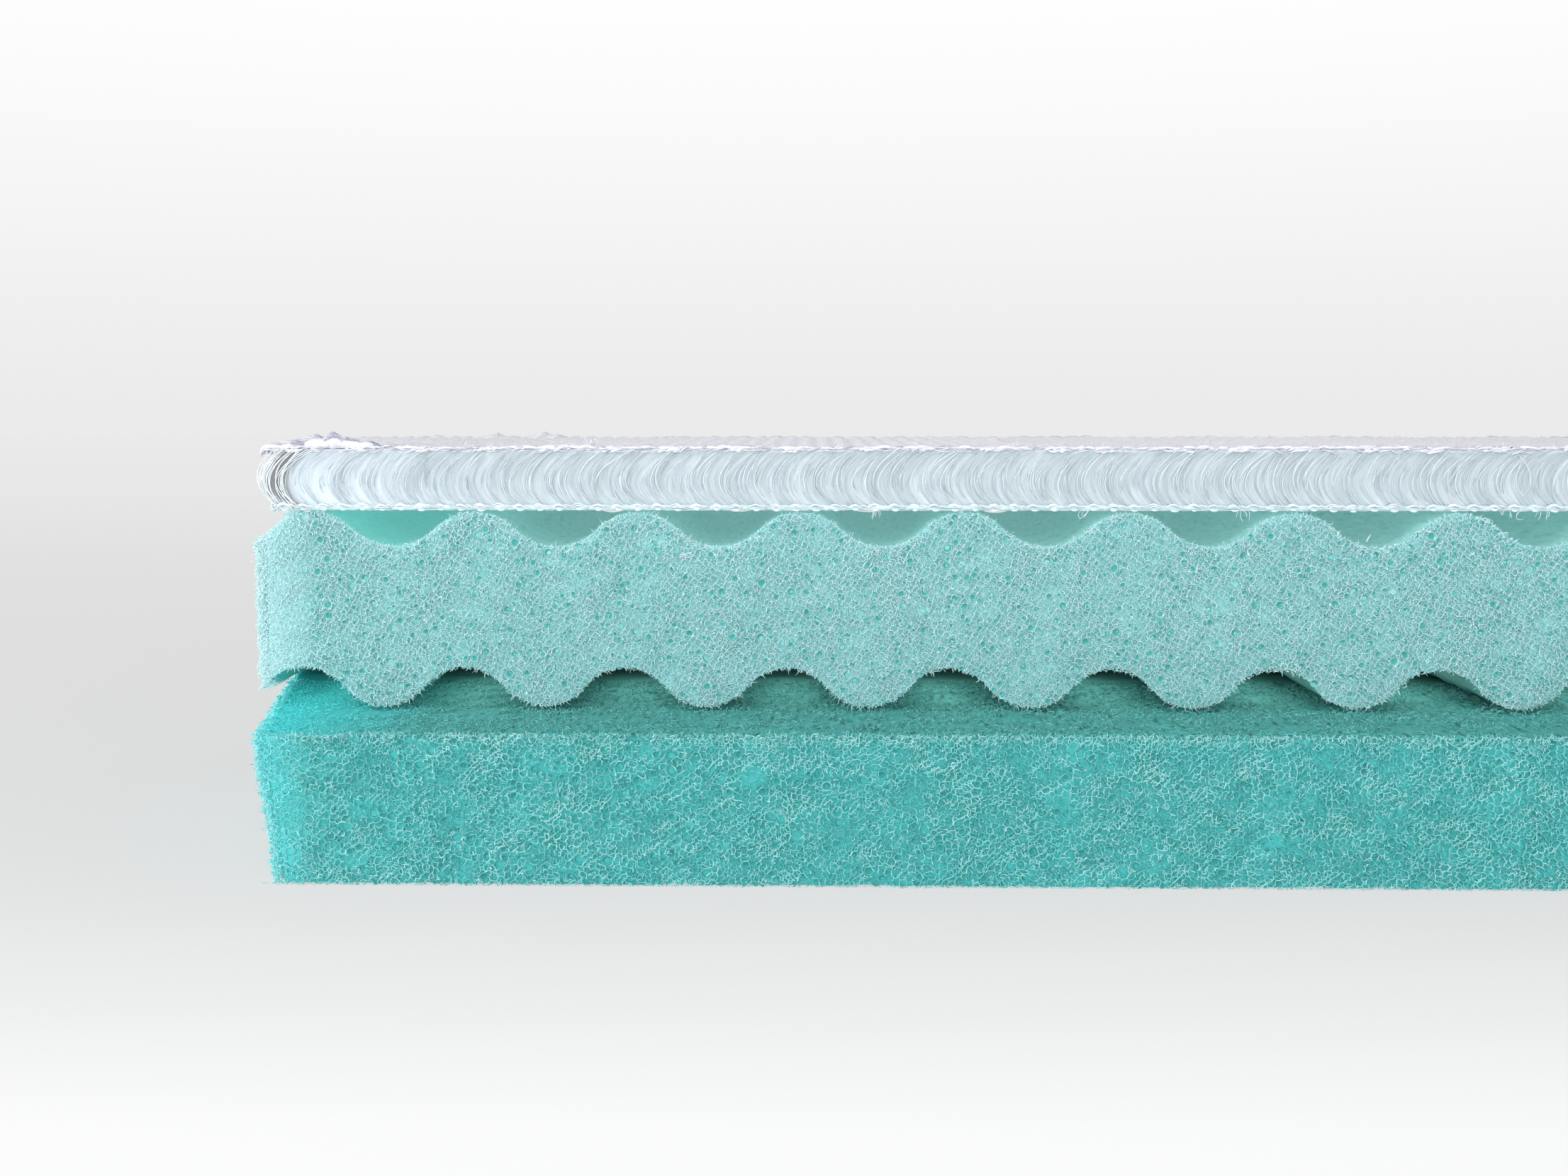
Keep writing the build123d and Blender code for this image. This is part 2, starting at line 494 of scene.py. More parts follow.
def foam_skin(name, light, middle, dark, painted_glow, painted_glow_x, cell):
    """Cut foam behind the struts: layers of cell walls, round pores and slow shade changes."""
    material, tree, shader = new_material(name)
    place = add(tree, "ShaderNodeTexCoord").outputs["Object"]
    shift = add(tree, "ShaderNodeVectorMath", operation="ADD")
    shift.inputs[1].default_value = (0.0137, 0.0071, 0.0053)
    join(place, shift, 0)
    size = 1 / (cell * MM)
    near = texture("TexVoronoi", place, feature="DISTANCE_TO_EDGE", Scale=size)
    far = texture("TexVoronoi", shift.outputs["Vector"], feature="DISTANCE_TO_EDGE", Scale=size * 0.83)
    pores = texture("TexVoronoi", place, Scale=size * 0.36)
    slow = texture("TexNoise", place, Scale=90.0, Detail=4.0)
    near_wall = spread(near, 0.03, 0.13, 1.0, 0.0)
    far_wall = spread(far, 0.03, 0.16, 1.0, 0.0)
    hole = spread(pores, 0.12, 0.24, 1.0, 0.0)
    shade = spread(slow, 0.35, 0.65, 0.0, 0.35)
    # painted light: towards the -X end the colour turns to the glow colour
    side = along_x(place, painted_glow_x + PAINTED_GLOW_REACH, painted_glow_x)
    paint(shader, dark, (far_wall, middle), (near_wall, light), (hole, dark), (shade, middle),
          (side, painted_glow))
    shader.inputs["Roughness"].default_value = 0.85
    shader.inputs["Specular IOR Level"].default_value = 0.25
    dent(shader, near_wall, 0.6, 0.00025)
    return material


def worn_skin(name, light, middle, dark, painted_glow, painted_glow_x, painted_glow_reach, painted_shade, painted_shade_y):
    """A foam face that isn't freshly cut: matt and fine in grain, with small dark pores, a painted shade
    from a given Y back and painted light towards the -X end.
    """
    material, tree, shader = new_material(name)
    place = add(tree, "ShaderNodeTexCoord").outputs["Object"]
    lie = texture("Mapping", place, Scale=(1.0, 0.25, 1.0))
    fine = spread(texture("TexNoise", lie, Scale=1300.0, Detail=4.0, Roughness=0.7), 0.4, 0.66)
    shade = spread(texture("TexNoise", lie, Scale=170.0, Detail=2.0), 0.35, 0.65, 0.0, 0.5)
    hole = spread(texture("TexVoronoi", lie, Scale=600.0), 0.14, 0.30, 0.8, 0.0)
    pit = spread(texture("TexVoronoi", lie, Scale=900.0), 0.16, 0.36, 0.6, 0.0)
    # painted shade: from this Y back the colour turns to the painted shade colour
    within = spread(texture("SeparateXYZ", place, "Y"), painted_shade_y * MM, (painted_shade_y + 1.5) * MM)
    # painted light: towards the -X end the colour turns to the glow colour
    side = along_x(place, painted_glow_x + painted_glow_reach, painted_glow_x, 0.84)
    paint(shader, middle, (fine, light), (shade, middle), (pit, dark), (hole, dark), (within, painted_shade),
          (side, painted_glow))
    shader.inputs["Roughness"].default_value = 0.9
    shader.inputs["Specular IOR Level"].default_value = 0.2
    dent(shader, fine, 0.3, 0.0002)
    return material


def strut_material(name, light, middle, deep, hole, fringe, painted_glow, painted_glow_x, streak, patches,
                   reach=PAINTED_GLOW_REACH):
    """The foam's struts: pale at the cut face, a little glossy, and painted darker and more saturated
    behind it, as painted shade and light filtered through the foam.
    """
    material, tree, shader = new_material(name)
    place = add(tree, "ShaderNodeTexCoord").outputs["Object"]
    lie = texture("Mapping", place, Rotation=(0, math.radians(38), 0), Scale=(streak, 1.0, 1.0))
    patch = texture("TexNoise", lie, Scale=420.0, Detail=5.0, Roughness=0.65)
    speck = texture("TexNoise", place, Scale=2600.0, Detail=2.0)
    edge, depth = (add(tree, "ShaderNodeAttribute", attribute_name=key).outputs["Fac"]
                   for key in ("edge", "depth"))
    # fringe: the pale colour of the painted highlight along the front face's upper edge, and the tone of
    # the wisps and spikes
    paint(shader, middle, (spread(patch, *patches), light), (edge, fringe),
          # painted shade: struts further behind the cut face turn darker, and the pore bowls darker still
          (spread(depth, 0.1, 0.9), deep), (spread(depth, 0.95, 1.5), hole),
          # painted light: towards the -X end the colour turns to the glow colour
          (along_x(place, painted_glow_x + reach, painted_glow_x), painted_glow))
    join(spread(speck, 0.3, 0.7, 0.4, 0.75), shader, "Roughness")
    shader.inputs["Specular IOR Level"].default_value = 0.18
    return material


wave_struts = strut_material(
    "wave_strut", light=srgb(210, 241, 243), middle=srgb(200, 238, 240), deep=srgb(177, 231, 233),
    hole=srgb(84, 172, 168), fringe=srgb(218, 245, 247), painted_glow=srgb(220, 253, 255),
    painted_glow_x=wave_slab.left_x, streak=0.8, patches=(0.36, 0.62),
)
base_struts = strut_material(
    "base_strut", light=srgb(177, 233, 232), middle=srgb(139, 222, 221), deep=srgb(96, 203, 202),
    hole=srgb(62, 152, 149), fringe=srgb(180, 233, 233), painted_glow=srgb(136, 238, 240),
    painted_glow_x=base_slab.left_x, streak=0.4, patches=(0.44, 0.58),
)
# the struts on the base's top under the waves: a darker copy of the base's struts, painted shade where
# the slab above shades the top
painted_shade_ledge_struts = strut_material(
    "ledge_strut", light=srgb(134, 212, 208), middle=srgb(108, 192, 187), deep=srgb(80, 158, 153),
    hole=srgb(50, 104, 98), fringe=srgb(112, 226, 224), painted_glow=srgb(100, 234, 237),
    painted_glow_x=base_slab.left_x, streak=0.6, patches=(0.42, 0.6), reach=26,
)
# the fourth colour of each skin is painted light, a glow towards the -X end
wave_skin = foam_skin(
    "wave_skin", srgb(184, 233, 234), srgb(160, 223, 224), srgb(130, 207, 207),
    srgb(212, 250, 254), wave_slab.left_x, 1.0,
)
base_skin = foam_skin(
    "base_skin", srgb(91, 196, 195), srgb(80, 189, 188), srgb(69, 177, 176),
    srgb(112, 232, 234), base_slab.left_x, 1.1,
)
wave_shell = worn_skin(
    "wave_shell", srgb(158, 210, 206), srgb(144, 199, 194), srgb(132, 188, 183),
    srgb(122, 226, 219), wave_slab.left_x, 44, srgb(140, 196, 191), wave_high[1],
)
# the base's top and underside: colours darker than its cut faces, painted shade against the key lamp's
# strong light on the top, and a painted shade from 28 mm behind the wave's front back, under the wave
# slab
base_shell = worn_skin(
    "base_shell", srgb(102, 192, 188), srgb(82, 163, 158), srgb(54, 110, 104),
    srgb(78, 222, 225), base_slab.left_x, 22, srgb(86, 154, 148), wave_low[1] + 28,
)


# ---------------------------------------------------------------- foam pieces

FRONT_DEPTH = 0.8  # of real struts on the front cut face, in front of the core
SIDE_DEPTH = 0.8  # on the back and at the +X end
END_DEPTH = 1.5  # at the -X end, where the foam is airy
EDGE_INSET = 0.15  # of the core under the struts' outline
BACK_LIP = 0.7  # how much the wave's valleys rise towards the back, under the fabric
LIP_REACH = 14  # how far from the back that rise begins
WAVE_RISE = 4.8  # from a crest down to where the lip has its whole height
NEAR_END = 15.0  # how far from the front the -X end has struts as fine as the front's
SPIKES_A_MM = 4.0  # spikes on a millimetre of edge
LEDGE_BACK = wave_low[1] + 27  # to where the base's top can be seen under the waves
LEDGE_DEPTH = 0.35


def foam_core(name, slab, material, shell, body, step_x, step_y, lip=0.0, ledge=0.0):
    """The closed body of a slab behind its struts, with the frame's own outline. Its top and
    underside have the shell's material, and its cut faces the other one."""
    right = slab.right - SIDE_DEPTH
    columns = int((right - slab.low[0]) / step_x)
    rows = int((slab.high[1] - slab.low[1]) / step_y)
    share = np.linspace(0, 1, columns + 1)
    loops = []
    for y in np.linspace(slab.low[1] + FRONT_DEPTH, slab.high[1] - SIDE_DEPTH, rows + 1):
        left = slab.left(y, slab.left_z) + END_DEPTH
        x = left + (right - left) * share
        rise = smooth_step((y - slab.high[1]) / LIP_REACH + 1)
        top = slab.top(x) + lip * rise * (slab.top(slab.crest) - slab.top(x)) / WAVE_RISE
        top = top - ledge * (1 - smooth_step((y - LEDGE_BACK) / 3))
        under = slab.under(x) + EDGE_INSET
        lean = slab.lean * (slab.left_z - under) * (1 - share)
        upper = np.stack([x, np.full_like(x, y), top], 1)
        lower = np.stack([x + lean, np.full_like(x, y), under], 1)
        loops.append(np.concatenate([upper, lower[::-1]]))
    points = np.array(loops)
    around = points.shape[1]
    flat = points.reshape(-1, 3)
    flat[:, 2] += 0.10 * ripple(flat, 5.0, 3) + 0.05 * ripple(flat, 1.7, 4)
    flat[:, 2] = np.maximum(flat[:, 2], LOWEST)
    column = np.arange(columns)
    opposite = around - 1 - column
    front = np.stack([column, opposite, opposite - 1, column + 1], 1)
    back = np.stack([column, column + 1, opposite - 1, opposite], 1) + rows * around
    piece = new_mesh(name, flat, np.concatenate([ring_faces(rows + 1, around, 1), front, back]))
    dress(piece, material, body)
    piece.data.materials.append(shell)
    shown = np.zeros(len(piece.data.polygons), dtype=np.int32)
    number = np.arange(around)
    shown[: rows * around] = np.tile((number != columns) & (number != around - 1), rows)
    piece.data.polygons.foreach_set("material_index", shown)
    piece.data.set_sharp_from_angle(angle=math.radians(40))
    return piece


def ledge_layer(name, slab, depth, cell, radius, seed, material, body):
    """Struts on top of a slab, as far back as it can be seen under the slab above."""
    front = slab.low[1]

    def inside(points):
        x, y, z = points.T
        top = slab.top(x)
        return ((z < top + ragged(points, 0.04, seed)) & (z > top - depth - 0.1) & (y > front + 0.2)
                & (y < LEDGE_BACK + 1) & (x > slab.left(y, z) + 0.4) & (x < slab.right - 0.2))

    def tone(points):
        return 0.9 * (slab.top(points[:, 0]) - points[:, 2]) / depth

    # painted light: the ledge's struts turn to their pale fringe colour towards the front edge, out from
    # under the slab above
    def near_front(points):
        return 1 - smooth_step((points[:, 1] - front) / 7)

    strut_layer(
        name, (slab.low[0] - 1, front, slab.high[2] - depth - 0.4),
        (slab.right + 0.4, LEDGE_BACK + 1.4, slab.high[2] + 0.3),
        inside, tone, near_front, cell, radius, seed, NO_PORES, material, body,
    )


def ragged(points, size, seed):
    """How far an edge stands in or out at each point."""
    return size * (0.6 * ripple(points, 2.6, seed) + 0.5 * ripple(points, 0.9, seed + 1))


def no_edge(points):
    """The tone of struts that aren't near the front face's edge."""
    return np.zeros(len(points))


def clad(name, slab, cell, radius, seed, material, body, front_pores, fringe, crown):
    """Struts on the four cut faces of a slab: fine at the front, and at the -X end near it.
    front_pores: how many pores are tried on the front, their least and greatest radius and
    how far from the end they begin. crown: how far the front's struts stand up past the top."""
    front, back = slab.low[1], slab.high[1]
    left_corner = slab.left(front, slab.left_z)
    near_end = front + NEAR_END

    def within(points, seed_edge, above=0.0):
        x, y, z = points.T
        edge = ragged(points, 0.18, seed_edge)
        return ((z < slab.top(x) + edge + above) & (z > slab.under(x) - edge)
                & (x > slab.left(y, z) + 4.5 * edge) & (x < slab.right + edge)
                & (y > front - 0.08) & (y < back + 0.1))

    def from_end(points):
        return points[:, 0] - slab.left(points[:, 1], points[:, 2])

    def on_front(points):
        return within(points, seed, crown) & (points[:, 1] < front + FRONT_DEPTH)

    def on_near_end(points):
        return (within(points, seed) & (points[:, 1] >= front + FRONT_DEPTH)
                & (points[:, 1] < near_end) & (from_end(points) < END_DEPTH + 0.5))

    def on_far_end(points):
        return (within(points, seed) & (points[:, 1] >= near_end)
                & (from_end(points) < END_DEPTH + 0.3))

    def on_back(points):
        return within(points, seed + 2) & (points[:, 1] > back - SIDE_DEPTH - 0.1)

    def on_right(points):
        return within(points, seed + 3) & (points[:, 0] > slab.right - SIDE_DEPTH - 0.1)

    def front_depth(points):
        return (points[:, 1] - front) / FRONT_DEPTH

    def end_depth(points):
        return from_end(points) / (2 * END_DEPTH)

    def back_depth(points):
        return (back - points[:, 1]) / (2 * SIDE_DEPTH)

    def right_depth(points):
        return (slab.right - points[:, 0]) / (2 * SIDE_DEPTH)

    # painted highlight: struts near the front face's upper edge take the pale fringe colour, where light
    # from above catches them
    def front_edge(points):
        under_top = slab.top(points[:, 0]) + crown - points[:, 2]
        return fringe * (1 - smooth_step((under_top - 0.5) / 1.5)) * (0.8 + 0.2 * ripple(points, 3, 8))

    low_z, high_z = slab.low[2] - 0.3, slab.high[2] + 0.3 + crown
    tried, least, greatest, from_left = front_pores
    pores, sizes = spaced_pores(
        (left_corner, front - 0.05, low_z), (slab.right, front + 0.4, high_z), tried, (least, greatest),
        seed + 40,
    )
    clear = pores[:, 0] > left_corner + from_left
    for step_x, step_z in ((1, 0), (-1, 0), (0, 1), (0, -1)):
        clear &= within(pores + np.stack([sizes * step_x, 0 * sizes, sizes * step_z], 1), seed)
    pores, sizes = pores[clear], sizes[clear]
    pore_cups(name + "_pores", pores, sizes, seed + 41, material, body)

    # each layer's reach in X and Y, its struts, and the size of its cells and struts
    coarse, thick = cell * 1.6, radius * 1.3
    far_left, far_right = slab.low[0] - 1, slab.right + 0.4
    layers = {
        "front": (left_corner - 1.5, far_right, front - 0.4, front + FRONT_DEPTH + 0.3,
                  on_front, front_depth, front_edge, cell, radius, (pores, sizes * 1.1)),
        "end_near": (left_corner - 5, left_corner + END_DEPTH + 4, front + FRONT_DEPTH - 0.4,
                     near_end + 0.3, on_near_end, end_depth, no_edge, cell * 1.1, radius, NO_PORES),
        "end_far": (far_left, left_corner + 2, near_end - 0.4, back + 0.3,
                    on_far_end, end_depth, no_edge, coarse, thick, NO_PORES),
        "back": (far_left, far_right, back - SIDE_DEPTH - 0.6, back + 0.4,
                 on_back, back_depth, no_edge, coarse, thick, NO_PORES),
        "right": (slab.right - SIDE_DEPTH - 0.6, far_right, front, back,
                  on_right, right_depth, no_edge, coarse, thick, NO_PORES),
    }
    for part, (low_x, high_x, low_y, high_y, inside, depth, edge, size, thickness, own) in layers.items():
        strut_layer("%s_%s" % (name, part), (low_x, low_y, low_z), (high_x, high_y, high_z),
                    inside, depth, edge, size, thickness, seed, own, material, body)
    spikes(name + "_spikes", slab, seed + 60, material, body)


def spikes(name, slab, seed, material, body):
    """Short cut ends of struts that stand out along the edges of the front face."""
    rng = np.random.default_rng(seed)
    front = slab.low[1]
    roots, ways = [], []
    for edge, sign in ((slab.top, 1), (slab.under, -1)):
        count = int(SPIKES_A_MM * (slab.right - slab.left_x))
        x = rng.uniform(slab.left_x, slab.right, count)
        slope = (edge(x + 0.3) - edge(x - 0.3)) / 0.6
        y = front + rng.uniform(-0.05, 1.1, count)
        roots.append(np.stack([x, y, edge(x) - 0.1 * sign], 1))
        ways.append(np.stack([-slope * sign, 0 * x - 0.25, 0 * x + sign], 1))
    count = int(5 * SPIKES_A_MM * (slab.high[2] - slab.low[2]))
    z = rng.uniform(slab.under(slab.left_x + 1), slab.top(slab.left_x + 1), count)
    y = front + rng.uniform(0, 1, count) ** 2 * 14
    roots.append(np.stack([slab.left(y, z) + 0.1, y, z], 1))
    ways.append(np.tile([-1.0, -0.2, 0.0], (count, 1)))
    reach = np.ones(sum(len(part) for part in roots))
    reach[-count:] = 1.1 + 0.9 * rng.random(count) ** 2 * (z > slab.high[2] - 8)
    roots, ways = np.concatenate(roots), np.concatenate(ways)
    reach *= 0.4 + 1.4 * np.clip(0.5 + 0.9 * ripple(roots, 1.0, seed + 4), 0, 1)
    ways += rng.normal(0, 0.6, ways.shape)
    ways /= np.linalg.norm(ways, axis=1, keepdims=True)
    count = len(roots)
    length = (0.15 + 0.55 * rng.random((count, 1)) ** 2) * reach[:, None]
    bend = rng.normal(0, 0.12, (count, 3))
    middle, tip = roots + ways * length * 0.5 + bend * length, roots + ways * length
    paths = np.stack([roots, middle, tip], 1)
    paths[:, :, 2] = np.maximum(paths[:, :, 2], LOWEST)
    radii = np.array([0.058, 0.048, 0.012]) * rng.uniform(0.8, 1.2, (count, 1))
    numbers = {"depth": np.zeros(count), "edge": np.full(count, 0.6)}
    strands(name, paths, radii, numbers, material, body, helper=(0.3, 1.0, 0.2))


def wisps(name, slab, count, band, seed, material, body):
    """Pale curved threads of cut cell walls on the front face, in slanting clumps.
    band of them lie along the upper edge."""
    rng = np.random.default_rng(seed)
    front = slab.low[1]
    x = rng.uniform(slab.left_x - 0.5, slab.right, 3 * count)
    top, under = slab.top(x), slab.under(x)
    z = under + (top - under) * rng.random(3 * count)
    z[:band] = top[:band] + 0.1 - 1.5 * rng.random(band) ** 1.3
    slant = np.stack([x + 0.9 * z, 0 * x, 0.35 * (z - 0.9 * x)], 1)
    clump = ripple(slant, 3.2, seed + 1) + 0.6 * ripple(slant, 9.0, seed + 2)
    kept = clump + rng.normal(0, 0.35, len(x)) > 0.25
    kept[:band] = True
    kept &= x > slab.left(front, z)
    x, z = x[kept][:count + band], z[kept][:count + band]
    total = len(x)
    turn = rng.normal(math.radians(48), math.radians(38), total)
    length = rng.uniform(0.3, 0.9, total)
    share = np.linspace(-0.5, 0.5, 5)
    bow = rng.normal(0, 0.28, total) * length
    away = (share ** 2 - 0.25) * -1
    cos, sin = np.cos(turn)[:, None], np.sin(turn)[:, None]
    path_x = x[:, None] + cos * share * length[:, None] - sin * away * bow[:, None] * 4
    path_z = z[:, None] + sin * share * length[:, None] + cos * away * bow[:, None] * 4
    path_z = np.clip(path_z, LOWEST, slab.top(path_x) + 0.25)
    path_y = front - 0.02 + rng.uniform(-0.08, 0.12, (total, 1)) + rng.normal(0, 0.05, (total, 5))
    paths = np.stack([path_x, path_y, path_z], 2)
    radii = rng.uniform(0.038, 0.066, (total, 1)) * np.array([0.5, 1, 1.1, 1, 0.5])
    numbers = {"depth": np.zeros(total), "edge": rng.uniform(0.35, 1.0, total)}
    strands(name, paths, radii, numbers, material, body, helper=(0.1, 1.0, 0.2))


wave_core = foam_core("wave_foam_core", wave_slab, wave_skin, wave_shell, "wave_layer", 0.6, 1.0,
                      lip=BACK_LIP)
base_core = foam_core("base_foam_core", base_slab, base_skin, base_shell, "base", 1.2, 1.0,
                      ledge=LEDGE_DEPTH)
clad("wave_foam", wave_slab, 0.9, 0.080, 1, wave_struts, "wave_layer",
     front_pores=(4600, 0.2, 0.66, 7.5), fringe=0.35, crown=0.0)
clad("base_foam", base_slab, 1.1, 0.080, 2, base_struts, "base",
     front_pores=(4200, 0.22, 0.72, 6.0), fringe=0.85, crown=0.4)
ledge_layer("base_foam_ledge", base_slab, LEDGE_DEPTH, 1.3, 0.066, 5, painted_shade_ledge_struts, "base")
wisps("wave_foam_wisps", wave_slab, 2000, 500, 71, wave_struts, "wave_layer")
wisps("base_foam_wisps", base_slab, 3600, 900, 73, base_struts, "base")

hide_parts("wave_foam")
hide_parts("base_foam")


# ---------------------------------------------------------------- spacer fabric

STITCH = 3.1  # pitch of the knitted stitches along X
COURSE = 1.9  # pitch of the rows of stitches along Y
UNDER_IN = 0.9  # how much shorter the under face is at the cut end
TOP_LUMPS = 0.3  # how much the upper knit's edge stands up in lumps
TOP_FACE = 0.35  # thickness of the upper knit between its lumps
PILE_BOW = 2.35  # how far the filaments bow towards -X
PILE_LOWEST = 0.44  # share of the height at which the filaments lie furthest to -X
PILE_EDGE = 1.5  # how far in from each side single monofilaments can be seen
PILE_OPEN = 5.0  # how much further in they show at the cut end
FIBRES_A_BUNDLE = 8
FIBRE_STEPS = 11  # points along each monofilament
EDGE_STEPS = 9  # points along each strand of yarn
TUFT_PITCH = 3.15 * STITCH  # from one bright tuft of the top face's edge to the next
TUFT_STRANDS = 16
LOOSE_STRANDS = 6  # at each stitch
HANGING_BUNDLES = 90  # over the cut end
fibre_foot, fibre_top = under_high[2] - 0.2, top_high[2] - TOP_FACE
knit_front, knit_back = under_low[1], under_high[1]
knit_right = under_high[0]
knit_left = corners_at("spacer_under_knit", knit_front)[0][0]
knit_skew = (under_low[0] - knit_left) / (knit_back - knit_front)


def knit_end(y):
    """X of the fabric's cut end at each Y."""
    return knit_left + knit_skew * (y - knit_front)


# folds of the loose top face: from the cut end, half length, rise, from the front, half depth
FOLDS = (
    (5.0, 2.1, 0.6, 1.2, 2.2), (8.3, 2.2, 1.6, 1.2, 2.2), (11.4, 1.8, 1.4, 1.4, 2.0),
    (14.8, 2.4, 0.7, 1.5, 1.8), (22.6, 2.3, 0.8, 71.0, 3.0), (32.4, 3.2, 1.0, 71.0, 3.0),
    (51.0, 0.8, 0.5, 1.5, 1.0), (118.0, 1.6, 0.7, 40.0, 6.0), (146.0, 2.0, 0.6, 55.0, 6.0),
    (183.0, 3.0, 0.5, 62.0, 5.0),
)


def knit_relief(flat, lumps, folds):
    """How high a knitted face stands at each point, and how near its edge each one is."""
    wale = np.cos(2 * math.pi * (flat[:, 0] - knit_right) / STITCH)
    course = np.cos(2 * math.pi * (flat[:, 1] - knit_front) / COURSE + 1.6 * wale)
    relief = 0.13 * wale + 0.09 * course + 0.06 * ripple(flat, 4.0, 21)
    to_edge = np.minimum.reduce([
        flat[:, 0] - knit_end(flat[:, 1]), knit_right - flat[:, 0],
        flat[:, 1] - knit_front, knit_back - flat[:, 1],
    ])
    edge = 1 - smooth_step(to_edge / 3.5)
    relief += lumps * edge * (0.5 + 0.5 * ripple(flat, 6.0, 22))
    for from_end, half_length, rise, from_front, half_depth in folds:
        far = ((flat[:, 0] - knit_left - from_end) / half_length) ** 2
        far += ((flat[:, 1] - knit_front - from_front) / half_depth) ** 2
        relief += rise * np.exp(-far) * (1 + 0.2 * ripple(flat, 1.9, 24))
    return relief, edge


def knit_face(name, low_z, high_z, ribs_up, lumps, step, material, body, folds=(), left_in=0.0):
    """A knitted face as a closed sheet, with ribs, rows of stitches and a wandering edge."""
    columns = int((knit_right - knit_left) / step)
    rows = int((knit_back - knit_front) / step)
    share = np.linspace(0, 1, columns + 1)
    depth = np.linspace(knit_front, knit_back, rows + 1)
    grid_y, grid_share = np.meshgrid(depth, share, indexing="ij")
    left = knit_end(grid_y) + left_in
    grid_x = left + (knit_right - left) * grid_share
    flat = np.stack([grid_x.ravel(), grid_y.ravel(), np.zeros(grid_x.size)], 1)
    relief, edge = knit_relief(flat, lumps, folds)
    wander = 0.35 * edge * ripple(flat * [1, 0, 1], 3.0, 23)
    upper, lower = flat.copy(), flat.copy()
    upper[:, 1] += wander
    lower[:, 1] += wander
    upper[:, 2] = high_z + (relief - 0.1 if ribs_up else 0.0)
    lower[:, 2] = low_z + (0.25 * np.clip(relief, 0, 0.4) if ribs_up else 0.1 - 0.5 * relief)
    points = np.concatenate([upper, lower])
    number = np.arange((rows + 1) * (columns + 1)).reshape(rows + 1, columns + 1)
    top = np.stack([number[:-1, :-1], number[:-1, 1:], number[1:, 1:], number[1:, :-1]], -1)
    under = top[..., ::-1] + number.size
    walls = []
    for line in (number[0, ::-1], number[-1], number[:, 0], number[::-1, -1]):
        walls.append(np.stack([line[:-1], line[1:], line[1:] + number.size,
                               line[:-1] + number.size], 1))
    faces = np.concatenate([top.reshape(-1, 4), under.reshape(-1, 4)] + walls)
    piece = new_mesh(name, points, faces)
    return dress(piece, material, body)


def knit_material(name, light, shade, tint):
    """White knitted yarn: stitches as small chevrons, fine filaments and soft uneven tone."""
    material, tree, shader = new_material(name)
    place = add(tree, "ShaderNodeTexCoord").outputs["Object"]
    stitch = texture("TexWave", place, "Fac", Scale=105.0, Distortion=3.0, Detail=2.0, Detail_Scale=3.0)
    strand = spread(texture("TexNoise", place, Scale=1500.0, Detail=3.0), 0.35, 0.65)
    patch = spread(texture("TexNoise", place, Scale=260.0, Detail=3.0), 0.5, 0.75)
    paint(shader, shade, (strand, light), (patch, tint))
    shader.inputs["Roughness"].default_value = 0.55
    shader.inputs["Sheen Weight"].default_value = 0.15
    dent(shader, spread(stitch, 0.1, 0.9), 0.5, 0.0002)
    dent(shader, strand, 0.5, 0.0001)
    return material


def fibre_material(name, light, shade, rough):
    """Pale filament, brighter or fainter by the number that each one carries."""
    material, tree, shader = new_material(name)
    place = add(tree, "ShaderNodeTexCoord").outputs["Object"]
    own = add(tree, "ShaderNodeAttribute", attribute_name="tone").outputs["Fac"]
    lengths = texture("TexNoise", place, Scale=800.0, Detail=3.0)
    paint(shader, shade, (combined("MULTIPLY", own, spread(lengths, 0.3, 0.7, 0.55, 1.0)), light))
    join(spread(lengths, 0.3, 0.7, rough * 0.7, rough * 1.3), shader, "Roughness")
    return material


def haze_material(name, light, shade, painted_glow, inside):
    """The mass of monofilament further in: faint bowed streaks, painted light towards the cut end and a
    painted shade right at it.
    """
    material, tree, shader = new_material(name)
    place = add(tree, "ShaderNodeTexCoord").outputs["Object"]
    flow = add(tree, "ShaderNodeAttribute", attribute_name="flow").outputs["Vector"]
    stretch = texture("Mapping", flow, Scale=(1.0, 1.0, 0.06))
    picked = spread(texture("TexNoise", stretch, Scale=1500.0, Detail=4.0, Roughness=0.7), 0.4, 0.66)
    broad = spread(texture("TexNoise", stretch, Scale=330.0, Detail=1.0), 0.35, 0.65, 0.76, 1.0)
    # painted light: towards the cut end the colour turns to the glow colour
    side = along_x(place, knit_left + 30, knit_left + 3, 0.7)
    # painted shade: right at the cut end the colour turns to the inside colour, the pile's shaded inside
    end = along_x(flow, knit_left + 6.4, knit_left + 4.4)
    paint(shader, shade, (combined("MULTIPLY", picked, broad), light), (side, painted_glow), (end, inside))
    shader.inputs["Roughness"].default_value = 0.7
    dent(shader, picked, 0.25, 0.0002)
    return material


